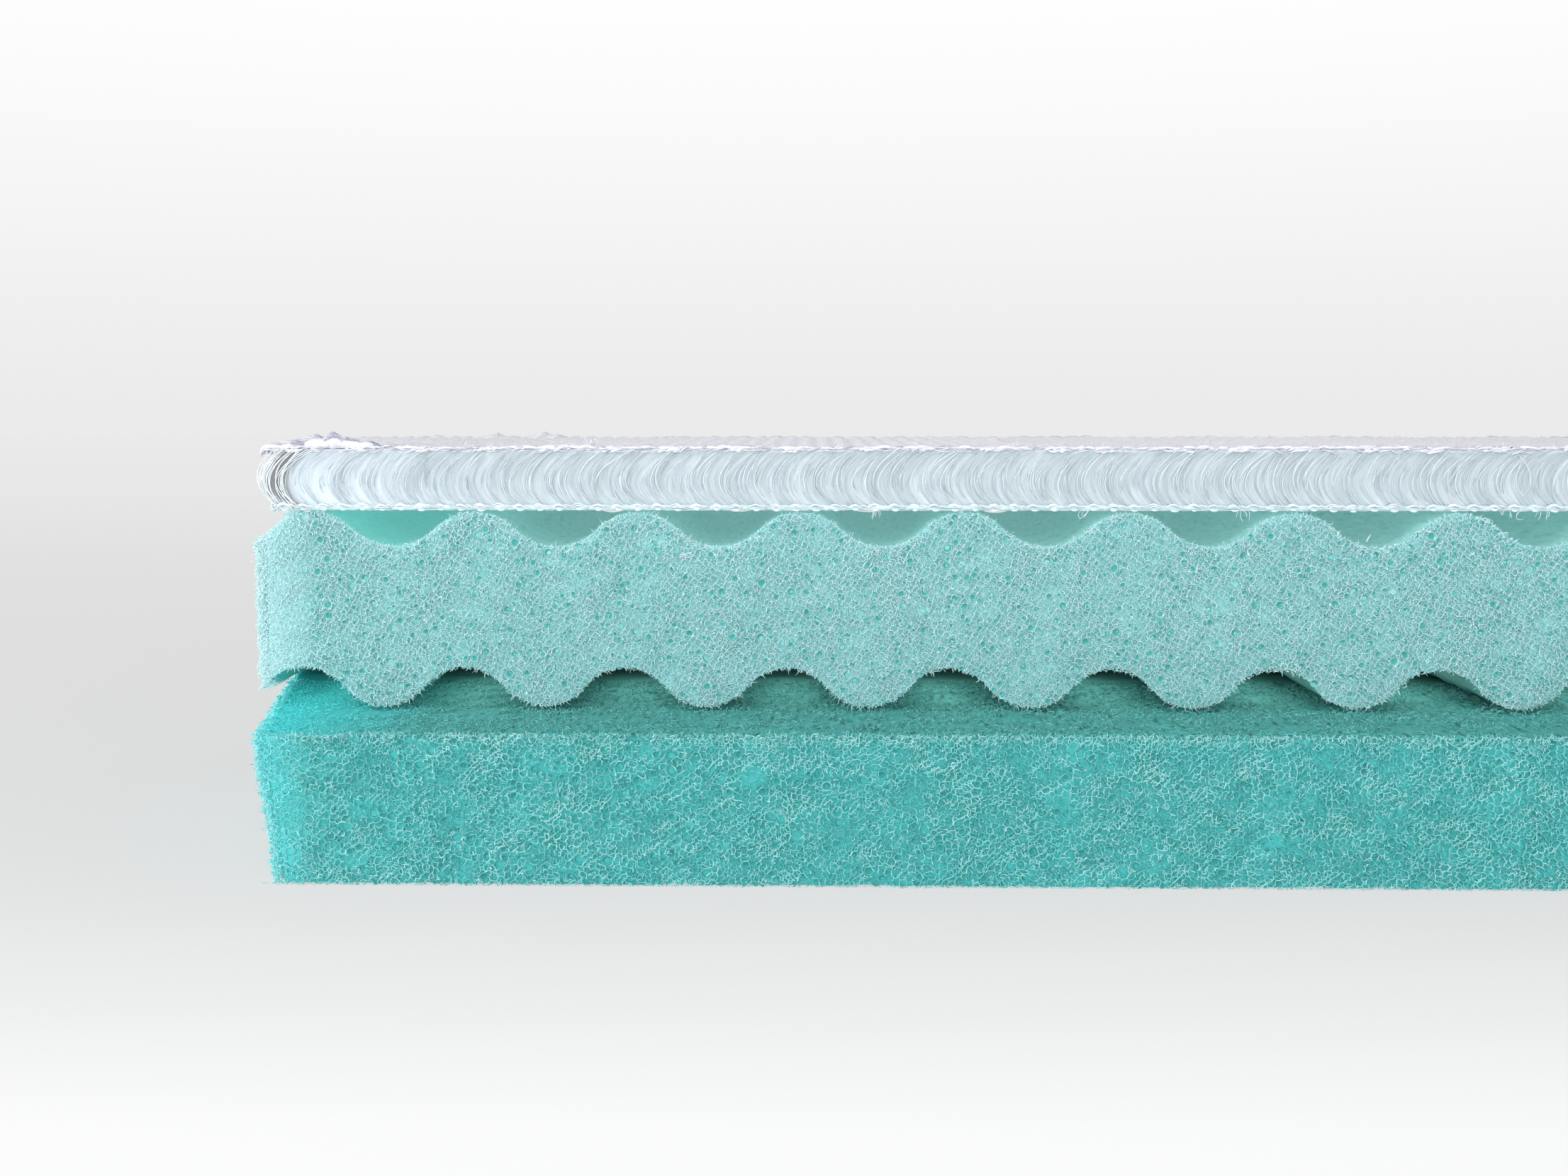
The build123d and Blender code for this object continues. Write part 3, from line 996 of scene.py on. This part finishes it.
def bowed_fibres(feet, seed, crossing):
    """Monofilaments from their feet on the under face up to the top face, bowed towards -X."""
    rng = np.random.default_rng(seed)
    count = len(feet)
    bow = rng.normal(PILE_BOW, 0.35, count)
    lowest = PILE_LOWEST + rng.uniform(-0.04, 0.04, count)
    back_to_back = rng.random(count) < crossing
    bow = np.where(back_to_back, -bow * 0.8, bow)
    share = np.linspace(0, 1, FIBRE_STEPS)[None, :]
    swing = -2 * bow / lowest
    curve = bow / lowest ** 2
    fan = rng.normal(0.2, 0.7, count)
    x = feet[:, 0, None] + swing[:, None] * share + curve[:, None] * share ** 2
    x += fan[:, None] * share
    # each one comes out of the mass for part of its height only
    centre, half = rng.uniform(0.3, 0.8, count), rng.uniform(0.22, 0.6, count)
    shown = np.clip(1 - ((share - centre[:, None]) / half[:, None]) ** 2, 0, 1)
    at_end = feet[:, 0] - knit_end(feet[:, 1]) < PILE_OPEN
    shown = np.where(at_end[:, None], 1.0, shown)
    out = rng.uniform(0.6, 1.5, count)
    y = feet[:, 1, None] + outward(feet[:, 1, None]) * (out[:, None] * shown - 0.55)
    y += rng.normal(0, 0.3, count)[:, None] * share
    y = np.clip(y, knit_front - 0.15, knit_back + 0.15)
    z = fibre_foot + (fibre_top - fibre_foot) * share + 0 * x
    paths = np.stack([x, y, z], 2)
    tone = np.maximum(rng.random(count) ** 1.5, 1.0 * at_end)
    radii = (0.05 + 0.045 * tone)[:, None] * (1 - 0.25 * share)
    return paths, radii, (0.1 + 0.9 * shown) * tone[:, None]


def pile_feet(seed):
    """Feet of the monofilaments, in bundles at the stitches, near the four sides."""
    rng = np.random.default_rng(seed)
    stitches = np.arange(knit_right - STITCH / 2, knit_left - 18, -STITCH)
    courses = np.arange(knit_front + 0.25, knit_back - 0.2, COURSE * 0.5)
    grid_x, grid_y = np.meshgrid(stitches, courses, indexing="ij")
    feet = np.stack([grid_x.ravel(), grid_y.ravel()], 1)
    feet = np.repeat(feet, FIBRES_A_BUNDLE, axis=0)
    feet[:, 0] += rng.normal(0, 1.05, len(feet))
    feet[:, 1] += rng.uniform(-0.35, 0.35, len(feet))
    near_end = feet[feet[:, 0] - knit_end(feet[:, 1]) < PILE_OPEN + 2]
    more = np.repeat(near_end[near_end[:, 1] > knit_front + 1.5], 2, axis=0)
    feet = np.concatenate([feet, more + rng.normal(0, 0.6, more.shape) * [1, 0.5]])
    from_left = feet[:, 0] - knit_end(feet[:, 1])
    to_side = np.minimum.reduce([
        from_left - PILE_OPEN, knit_right - feet[:, 0],
        feet[:, 1] - knit_front, knit_back - feet[:, 1],
    ])
    kept = (from_left > 1.35) & (feet[:, 0] < knit_right - 0.2) & (to_side < PILE_EDGE)
    return feet[kept]


def knit_corners(left_in, right_in, front_in, back_in):
    """The four corners of the fabric's outline, drawn in from each of its sides."""
    front, back = knit_front + front_in, knit_back - back_in
    return [
        (knit_left + left_in, front), (knit_right - right_in, front),
        (knit_right - right_in, back), (knit_end(knit_back) + left_in, back),
    ]


def outward(y):
    """-1 in the front half of the fabric and 1 in its back half."""
    return np.where(y < (knit_front + knit_back) / 2, -1.0, 1.0)


def edge_line(z, inset, pitch, left_in=0.0):
    """Points about a knitted face's four sides, one pitch apart, and which way is along."""
    corners = knit_corners(left_in + inset, inset, inset, inset)
    places, ways = [], []
    for first, second in zip(corners, corners[1:] + corners[:1]):
        first, second = np.array(first), np.array(second)
        reach = np.linalg.norm(second - first)
        way = (second - first) / reach
        count = round(reach / pitch)
        for number in range(count):
            places.append([*(first + (second - first) * (number + 0.5) / count), z])
            ways.append([*way, 0.0])
    return np.array(places), np.array(ways)


def surface_strands(name, count, reach, depth, seed, material, body):
    """Strands of yarn that lie on the top face, from its cut end on and close to its front."""
    rng = np.random.default_rng(seed)
    share = np.linspace(-0.5, 0.5, EDGE_STEPS)[None]
    slant = rng.normal(0, 0.25, (count, 1))
    length = rng.uniform(1.2, 3.4, (count, 1))
    y = knit_front + 0.15 + depth * rng.random((count, 1)) ** 1.5
    x = knit_end(y) + 1.8 + (reach - 1.8) * rng.random((count, 1))
    x = x + share * length * np.cos(slant)
    y = np.maximum(y + share * length * np.sin(slant), knit_front - 0.05)
    flat = np.stack([x.ravel(), y.ravel(), np.zeros(x.size)], 1)
    relief, _ = knit_relief(flat, TOP_LUMPS, FOLDS)
    lift = rng.uniform(-0.06, 0.06, (count, 1)) - 0.5 * share ** 2
    z = top_high[2] - 0.1 + relief.reshape(x.shape) + lift
    radii = rng.uniform(0.07, 0.14, (count, 1)) * tapering(EDGE_STEPS)[None]
    return strands(name, np.stack([x, y, z], 2), radii, {"tone": rng.uniform(0, 1, count)},
                   material, body)


def edge_filaments(name, parts, material, body):
    """Filaments beside the edge of a knitted face. Each part has places, ways along the edge,
    the offsets of the path along, outward and up, radii and a tone for each filament."""
    paths, radii, tones = [], [], []
    for places, ways, offsets, radius, tone in parts:
        out = np.stack([ways[:, 1], -ways[:, 0], 0 * ways[:, 0]], 1)
        path = places[:, None] + ways[:, None] * offsets[:, :, 0:1] + out[:, None] * offsets[:, :, 1:2]
        path[:, :, 2] += offsets[:, :, 2]
        paths.append(path)
        radii.append(radius[:, None] * tapering(EDGE_STEPS))
        tones.append(tone)
    return strands(name, np.concatenate(paths), np.concatenate(radii), {"tone": np.concatenate(tones)},
                   material, body, sides=5)


def chain_stitches(name, z, material, body):
    """The stitches along the cut edge of the under face: a bent loop over a short float."""
    places, ways = edge_line(z, 0.15, STITCH, UNDER_IN)
    rng = np.random.default_rng(51)
    share = np.linspace(0, 1, EDGE_STEPS)
    count = len(places)
    parts = []

    def strand(knots_along, knots_up, bulge, radius, tone, shift=(0.0, 0.0)):
        size = rng.uniform(0.85, 1.15, (count, 1))
        knots = np.linspace(0, 1, len(knots_along))
        along = np.interp(share, knots, knots_along)[None] * STITCH * size
        up = np.interp(share, knots, knots_up)[None] * size
        along = along + rng.normal(0, 0.05, (count, 1)) + shift[0]
        up = up + rng.normal(0, 0.04, (count, 1)) + shift[1]
        out = bulge * np.sin(math.pi * share)[None] + 0.12 + 0 * along
        radii = radius * rng.uniform(0.85, 1.15, count)
        tones = np.clip(tone + rng.normal(0, 0.12, count), 0, 1)
        parts.append((places, ways, np.stack([along, out, up], 2), radii, tones))

    for shift in ((0.0, 0.0), (0.12, -0.15)):
        strand((-0.34, -0.14, 0.02, 0.24, 0.42), (0.10, 0.44, 0.52, 0.26, 0.02), 0.30, 0.145, 0.85, shift)
    strand((-0.12, 0.0, 0.14, 0.26), (-0.32, -0.42, -0.42, -0.34), 0.30, 0.19, 0.85)
    strand((0.26, 0.42, 0.56, 0.70), (0.36, 0.26, 0.10, 0.0), 0.25, 0.13, 0.8)
    strand((-0.55, -0.2, 0.2, 0.55), (-0.14, -0.06, -0.12, -0.18), 0.10, 0.15, 0.2)
    strand((-0.55, -0.2, 0.2, 0.55), (-0.34, -0.30, -0.34, -0.38), 0.05, 0.13, 0.25)
    return edge_filaments(name, parts, material, body)


def under_fluff(name, count, seed, material, body):
    """Curls of yarn at the under face's cut end, about the front corner."""
    rng = np.random.default_rng(seed)
    share = np.linspace(0, 1, EDGE_STEPS)[None]
    from_end = 1.2 + 9.0 * rng.random((count, 1)) ** 2
    turn = rng.uniform(-0.5, 3.6, (count, 1))
    size = rng.uniform(0.5, 1.3, (count, 1))
    bend = rng.normal(0, 1.5, (count, 1))
    x = knit_left + from_end + size * np.cos(turn + bend * share) * share
    y = knit_front + rng.uniform(-0.25, 0.5, (count, 1)) - 0.25 * share
    z = under_low[2] + rng.uniform(0.0, 0.7, (count, 1))
    z = z - 0.45 * size * np.sin(turn + bend * share) * share
    radii = rng.uniform(0.06, 0.12, (count, 1)) * tapering(EDGE_STEPS, 0.1)[None]
    return strands(name, np.stack([x, y, z], 2), radii, {"tone": rng.uniform(0.5, 1.0, count)},
                   material, body)


def top_yarns(name, z, material, body):
    """Bright tufts at about every third stitch of the top face's edge, and loose ends between."""
    rng = np.random.default_rng(52)
    share = np.linspace(0, 1, EDGE_STEPS)
    parts = []

    def loose(places, ways, along, up, out, lengths, slants, radii, tones):
        size = (share[None] - 0.5) * lengths[:, None]
        curl = rng.normal(0, 0.07, (len(places), 1)) * np.sin(math.pi * share)[None] * lengths[:, None]
        offsets = np.stack([
            along[:, None] + size * np.cos(slants)[:, None],
            out[:, None] + 0.15 * np.sin(math.pi * share)[None],
            up[:, None] + size * np.sin(slants)[:, None] + curl,
        ], 2)
        parts.append((places, ways, offsets, radii, tones))

    places, ways = (np.repeat(each, TUFT_STRANDS, axis=0) for each in edge_line(z, 0.25, TUFT_PITCH))
    count = len(places)
    tuft = np.repeat(rng.normal(0, 0.7, count // TUFT_STRANDS), TUFT_STRANDS)
    loose(places, ways, tuft + rng.normal(0, 0.8, count), rng.uniform(-0.45, 0.15, count),
          rng.uniform(0.0, 0.25, count), rng.uniform(0.8, 1.9, count), rng.normal(0.08, 0.2, count),
          rng.uniform(0.12, 0.2, count), rng.uniform(0.75, 1.0, count))
    places, ways = (np.repeat(each, LOOSE_STRANDS, axis=0) for each in edge_line(z, 0.25, STITCH))
    count = len(places)
    loose(places, ways, rng.uniform(-1.6, 1.6, count), rng.uniform(-0.5, 0.2, count),
          rng.uniform(-0.15, 0.2, count), rng.uniform(0.8, 2.2, count), rng.normal(0.05, 0.22, count),
          rng.uniform(0.09, 0.15, count), rng.random(count) ** 1.4)
    # the cut end: thick bundles that hang over it
    count = HANGING_BUNDLES
    y = rng.uniform(knit_front + 0.3, knit_back - 0.3, count)
    places = np.stack([knit_end(y), y, np.full(count, z)], 1)
    ways = np.tile([0.0, -1.0, 0.0], (count, 1))
    hang = rng.uniform(0.4, 1.5, count)
    out = np.interp(share, (0, 0.45, 0.8, 1), (-3.0, 0.2, 0.9, 0.5))[None]
    out = out * rng.uniform(0.6, 1.1, (count, 1))
    up = -hang[:, None] * smooth_step((share - 0.35) / 0.65)[None] + rng.uniform(-0.1, 0.4, (count, 1))
    side = rng.normal(0, 0.6, (count, 1)) * share[None]
    parts.append((places, ways, np.stack([side, out, up], 2), rng.uniform(0.2, 0.42, count),
                  rng.uniform(0.1, 0.8, count)))
    return edge_filaments(name, parts, material, body)


top_knit = knit_material("top_knit", srgb(240, 242, 249), srgb(217, 217, 228), srgb(231, 223, 228))
under_knit = knit_material("under_knit", srgb(216, 232, 238), srgb(184, 206, 212), srgb(196, 220, 224))
top_yarn = fibre_material("top_yarn", srgb(236, 239, 247), srgb(209, 206, 218), 0.55)
under_yarn = fibre_material("under_yarn", srgb(244, 251, 253), srgb(190, 212, 218), 0.4)
# the folds near the cut end: a darker, lavender copy of the top yarn, painted shade on folds that face
# the lamps
painted_shade_fold_yarn = fibre_material("painted_shade_fold_yarn", srgb(206, 209, 222), srgb(174, 173, 192), 0.7)
clear_fibre = fibre_material("clear_fibre", srgb(246, 252, 255), srgb(206, 218, 225), 0.4)
# the third colour is painted light towards the cut end, the fourth a painted shade right at it
pile_haze = haze_material(
    "pile_haze", srgb(214, 225, 231), srgb(186, 197, 203), srgb(228, 238, 248), srgb(142, 143, 147),
)

under_face = knit_face("spacer_under_face", under_low[2], under_high[2] - 0.1, False, 0.0, 0.9,
                       under_knit, "spacer", left_in=UNDER_IN)
top_face = knit_face("spacer_top_face", top_high[2] - TOP_FACE, top_high[2], True, TOP_LUMPS, 0.75,
                     top_knit, "spacer_top", FOLDS)

under_edge = chain_stitches("spacer_chain_stitches", under_low[2] + 0.55, under_yarn, "spacer")
top_edge = top_yarns("spacer_top_yarns", top_high[2] - 0.25, top_yarn, "spacer_top")
fold_strands = surface_strands("spacer_fold_strands", 420, 22.0, 4.0, 53, painted_shade_fold_yarn, "spacer_top")
face_strands = surface_strands("spacer_face_strands", 1300, 245.0, 2.4, 54, top_yarn, "spacer_top")
corner_fluff = under_fluff("spacer_corner_fluff", 130, 55, under_yarn, "spacer")

feet = pile_feet(31)
crossing_share = np.where(feet[:, 0] > 0.55 * knit_right, 0.06, 0.0)
fibre_paths, fibre_radii, fibre_tones = bowed_fibres(feet, 32, crossing_share)
fibre_order = np.argsort(feet[:, 0])
pile_pieces = []
for part, chosen in enumerate(np.array_split(fibre_order, 4)):
    pile_pieces.append(strands(
        "spacer_monofilaments_%d" % (part + 1), fibre_paths[chosen], fibre_radii[chosen],
        {"tone": fibre_tones[chosen]}, clear_fibre, "spacer", helper=(0.0, 1.0, 0.0),
    ))


def pile_mass(name, material):
    """The dense middle of the pile, behind the monofilaments that can be told apart."""
    heights = np.linspace(fibre_foot - 0.2, fibre_top, 13)
    share = (heights - heights[0]) / (heights[-1] - heights[0])
    lean = PILE_BOW * (share ** 2 / PILE_LOWEST ** 2 - 2 * share / PILE_LOWEST)
    corners = knit_corners(2.0, 2.0, 0.75, 4.0)
    outline = []
    for first, second in zip(corners, corners[1:] + corners[:1]):
        count = int(np.hypot(second[0] - first[0], second[1] - first[1]) / 0.8)
        way = np.array(second) - np.array(first)
        outline += [np.array(first) + way * step for step in np.arange(count) / count]
    outline = np.array(outline)
    rings = []
    flare = np.append(np.zeros(len(heights) - 2), (0.25, 0.6))
    for height, shift, spread_out in zip(heights, lean, flare):
        ring = np.column_stack([outline[:, 0] + shift, outline[:, 1], np.full(len(outline), height)])
        ring[:, 1] += 0.10 * ripple(ring * [1, 0, 0.2], 1.8, 35) + spread_out * outward(outline[:, 1])
        rings.append(ring)
    points = np.concatenate(rings)
    around = len(outline)
    lid_low = range(around - 1, -1, -1)
    lid_high = range(around * (len(heights) - 1), around * len(heights))
    faces = ring_faces(len(heights), around, 1).tolist() + [list(lid_low), list(lid_high)]
    mesh = bpy.data.meshes.new(name)
    mesh.from_pydata((points * MM).tolist(), [], faces)
    mesh.shade_smooth()
    piece = bpy.data.objects.new(name, mesh)
    scene.collection.objects.link(piece)
    before_lean = points - [[1, 0, 0]] * np.repeat(lean, around)[:, None]
    flow = mesh.attributes.new("flow", "FLOAT_VECTOR", "POINT")
    flow.data.foreach_set("vector", (before_lean * MM).astype(np.float32).ravel())
    return dress(piece, material, "spacer")


pile_middle = pile_mass("spacer_pile_middle", pile_haze)
pile_pieces.append(pile_middle)
for piece in pile_pieces:
    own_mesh(piece)
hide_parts("spacer_pile")
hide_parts("spacer_under_knit")
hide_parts("spacer_top_knit")


# ---------------------------------------------------------------- loose threads and lint

def threads(name, starts, ways, lengths, radius, body, material):
    """Short curling threads, each with its start, its way and its length."""
    rng = np.random.default_rng(81)
    count = len(starts)
    share = np.linspace(0, 1, 8)
    curl = rng.normal(0, 0.22, (count, 1, 3)) * np.sin(math.pi * share)[None, :, None]
    paths = starts[:, None] + (ways[:, None] * share[None, :, None] + curl) * lengths[:, None, None]
    radii = radius * np.array([1, 1, 1, 1, 1, 0.95, 0.8, 0.35]) * rng.uniform(0.7, 1.2, (count, 1))
    tones = rng.uniform(0.5, 1.0, count)
    strands(name, paths, radii, {"tone": tones}, material, body, sides=5, helper=(0.3, 1.0, 0.1))


# threads that hang from the under face's front edge, by how far from the cut end they are
HANGING = (95.0, 95.4, 96.2, 128.4, 129.0, 152.6, 153.2, 193.0, 194.1, 196.0, 198.8, 200.2)
rng = np.random.default_rng(82)
hang_x = np.repeat(knit_left + np.array(HANGING), 2) + rng.normal(0, 0.25, 2 * len(HANGING))
hang_start = np.stack([hang_x, 0 * hang_x + knit_front, 0 * hang_x + under_low[2] + 0.2], 1)
hang_way = np.array([0.0, -0.25, -1.0]) + rng.normal(0, 0.45, (len(hang_x), 3)) * [1, 0.3, 0.3]
threads("spacer_hanging_threads", hang_start, hang_way, rng.uniform(0.7, 1.7, len(hang_x)), 0.05,
        "spacer", under_yarn)

# tufts that stand on the top face: one near the front, the others along it
TUFT, ALONG = 14, 60  # threads in the one tuft and along the face
tuft_x = knit_left + 51.0 + rng.normal(0, 0.35, TUFT)
stand_x = np.concatenate([tuft_x, rng.uniform(knit_left + 8, knit_right, ALONG)])
stand_y = knit_front + rng.uniform(0.1, 1.5, len(stand_x))
stand_start = np.stack([stand_x, stand_y, 0 * stand_x + top_high[2]], 1)
stand_way = np.array([0.15, -0.1, 0.9]) + rng.normal(0, 0.6, (len(stand_x), 3)) * [1, 0.5, 0.2]
stand_length = np.concatenate([rng.uniform(0.9, 1.5, TUFT), rng.uniform(0.3, 0.9, ALONG)])
threads("spacer_standing_threads", stand_start, stand_way, stand_length, 0.06, "spacer_top",
        top_yarn)

# lint on the wave foam's front: three threads that lie together, and one by itself
lint_front = wave_low[1] - 0.12
lint_x = wave_slab.left_x + np.array([66.9, 67.0, 67.2, 174.2])
lint_z = wave_low[2] + np.array([24.2, 24.4, 24.3, 26.6])
lint_way = np.array([(1.0, -0.1, 0.10), (1.0, 0.0, 0.16), (0.9, -0.1, 0.02), (0.5, -0.2, 0.9)])
lint_start = np.stack([lint_x, 0 * lint_x + lint_front, lint_z], 1)
threads("wave_foam_lint", lint_start, lint_way, np.array([2.3, 2.0, 1.5, 1.2]), 0.08,
        "wave_layer", top_yarn)


# ---------------------------------------------------------------- light, floor and camera

def area_light(name, place, aim, width, height, power, colour=(1.0, 1.0, 1.0)):
    """A soft rectangular light at place that faces aim, both in metres."""
    data = bpy.data.lights.new(name, "AREA")
    data.shape = "RECTANGLE"
    data.size = width
    data.size_y = height
    data.energy = power
    data.color = colour
    lamp = bpy.data.objects.new(name, data)
    scene.collection.objects.link(lamp)
    lamp.location = place
    lamp.rotation_euler = (Vector(aim) - Vector(place)).to_track_quat("-Z", "Y").to_euler()
    lamp.visible_camera = False
    return lamp


area_light("key", (-0.3, -0.8, 0.7), (0, 0, 0.03), 0.8, 0.8, 3.6)
area_light("front", (0.0, -1.3, 0.22), (0, 0, 0.03), 1.6, 0.4, 8.4)
area_light("left_glow", (-0.75, -0.25, 0.2), (-0.12, 0, 0.04), 0.4, 0.4, 2.9)
# light that comes down through the loose fabric into the waves, and through the foam onto the base
wave_middle_x = (wave_low[0] + wave_high[0]) / 2 * MM
fabric_place = (wave_middle_x + 0.005, (wave_low[1] + wave_high[1]) / 2 * MM)
foam_place = (wave_middle_x + 0.007, (wave_low[1] + 16.8) * MM)
FABRIC_LAMP, FOAM_LAMP = (0.245, 0.074), (0.234, 0.0236)  # metres along X and Y
through_fabric = area_light(
    "through_fabric", (*fabric_place, (under_low[2] - 0.05) * MM), (*fabric_place, 0),
    *FABRIC_LAMP, 0.025,
)
through_foam = area_light(
    "through_foam", (*foam_place, (wave_low[2] + 5.5) * MM), (*foam_place, 0), *FOAM_LAMP, 0.031,
    (1.0, 0.88, 0.84),
)
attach(through_fabric, "spacer")
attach(through_foam, "wave_layer")


def mixed(factor, first, second):
    """A mix of two shaders by a factor."""
    made = add(factor.id_data, "ShaderNodeMixShader")
    for number, source in enumerate((factor, first, second)):
        join(source, made, number)
    return made.outputs["Shader"]


def seen_directly(tree):
    """1 for a camera, mirror or glass ray, and 0 for light that bounces off."""
    path = add(tree, "ShaderNodeLightPath")
    direct = combined("MAXIMUM", path.outputs["Is Camera Ray"], path.outputs["Is Glossy Ray"])
    return combined("MAXIMUM", direct, path.outputs["Is Transmission Ray"])


def grey_ramp(share, stops):
    """A colour ramp of greys along a share, each stop a place from 0 to 1 and a grey to 255."""
    made = add(share.id_data, "ShaderNodeValToRGB")
    join(share, made, "Fac")
    ramp = made.color_ramp.elements
    while len(ramp) > 1:
        ramp.remove(ramp[-1])
    ramp[0].position = stops[0][0]
    ramp[0].color = srgb(*[stops[0][1]] * 3)
    for position, grey in stops[1:]:
        ramp.new(position).color = srgb(*[grey] * 3)
    return made.outputs["Color"]


# the floor's painted light and shade: white close to the camera, a painted shade greyest under the
# object, paler far behind
FLOOR_REACH = (-0.15, 4.0)  # metres along Y
FLOOR_PAINTED_TONES = ((-0.12, 254), (-0.087, 238), (-0.049, 226), (-0.014, 220), (0.035, 218),
               (0.106, 219), (0.307, 224), (0.965, 231), (4.0, 235))
SHADOW_SHARE = 0.2  # of the floor's tone that comes from lamps, so that a shadow shows
FLOOR_HALF = 9  # metres from the middle to each edge

floor_mesh = bpy.data.meshes.new("floor")
floor_corners = [(x * FLOOR_HALF, y * FLOOR_HALF, 0) for x, y in ((-1, -1), (1, -1), (1, 1), (-1, 1))]
floor_mesh.from_pydata(floor_corners, [], [(0, 1, 2, 3)])
floor = bpy.data.objects.new("floor", floor_mesh)
scene.collection.objects.link(floor)
floor_material, floor_tree, floor_shader = new_material("floor")
floor_shader.inputs["Base Color"].default_value = (0.72, 0.72, 0.72, 1)
floor_shader.inputs["Roughness"].default_value = 0.9
floor_y = texture("SeparateXYZ", add(floor_tree, "ShaderNodeTexCoord").outputs["Object"], "Y")
floor_span = FLOOR_REACH[1] - FLOOR_REACH[0]
floor_painted_tone = grey_ramp(
    spread(floor_y, *FLOOR_REACH), [((y - FLOOR_REACH[0]) / floor_span, grey) for y, grey in FLOOR_PAINTED_TONES]
)
floor_glow = add(floor_tree, "ShaderNodeEmission", Strength=1.0 - SHADOW_SHARE)
floor_far = add(floor_tree, "ShaderNodeEmission")
for emission in (floor_glow, floor_far):
    join(floor_painted_tone, emission, "Color")
floor_lit = add(floor_tree, "ShaderNodeBsdfDiffuse", Color=(SHADOW_SHARE * 0.95,) * 3 + (1.0,))
floor_near = add(floor_tree, "ShaderNodeAddShader")
join(floor_glow.outputs["Emission"], floor_near, 0)
join(floor_lit.outputs["BSDF"], floor_near, 1)
floor_seen = mixed(
    spread(floor_y, 0.12, 0.6), floor_near.outputs["Shader"], floor_far.outputs["Emission"]
)
floor_mix = mixed(seen_directly(floor_tree), floor_shader.outputs["BSDF"], floor_seen)
join(floor_mix, floor_tree.nodes["Material Output"], "Surface")
floor_mesh.materials.append(floor_material)

world = bpy.data.worlds.new("studio")
scene.world = world
world.use_nodes = True
sky = world.node_tree
room_light = sky.nodes["Background"]
room_light.inputs["Color"].default_value = (0.97, 0.99, 1.0, 1)
room_light.inputs["Strength"].default_value = 0.5
sky_height = texture("SeparateXYZ", add(sky, "ShaderNodeTexCoord").outputs["Generated"], "Z")
sky_tone = grey_ramp(spread(sky_height, 0.0, 0.24), ((0.0, 235), (0.3, 241), (0.65, 249), (1.0, 255)))
sky_seen = add(sky, "ShaderNodeBackground")
join(sky_tone, sky_seen, "Color")
sky_mix = mixed(seen_directly(sky), room_light.outputs["Background"], sky_seen.outputs["Background"])
join(sky_mix, sky.nodes["World Output"], "Surface")

camera_data = bpy.data.cameras.new("camera")
camera = bpy.data.objects.new("camera", camera_data)
scene.collection.objects.link(camera)
camera_data.sensor_width = 36
camera_data.lens = 37.6
camera_data.clip_start = 0.01
camera_data.clip_end = 50
camera.rotation_euler = (math.radians(90 - 6.4), 0, math.radians(1.03))
camera.location = (-0.0428, base_low[1] * MM - 0.2347, 0.0707)
scene.camera = camera
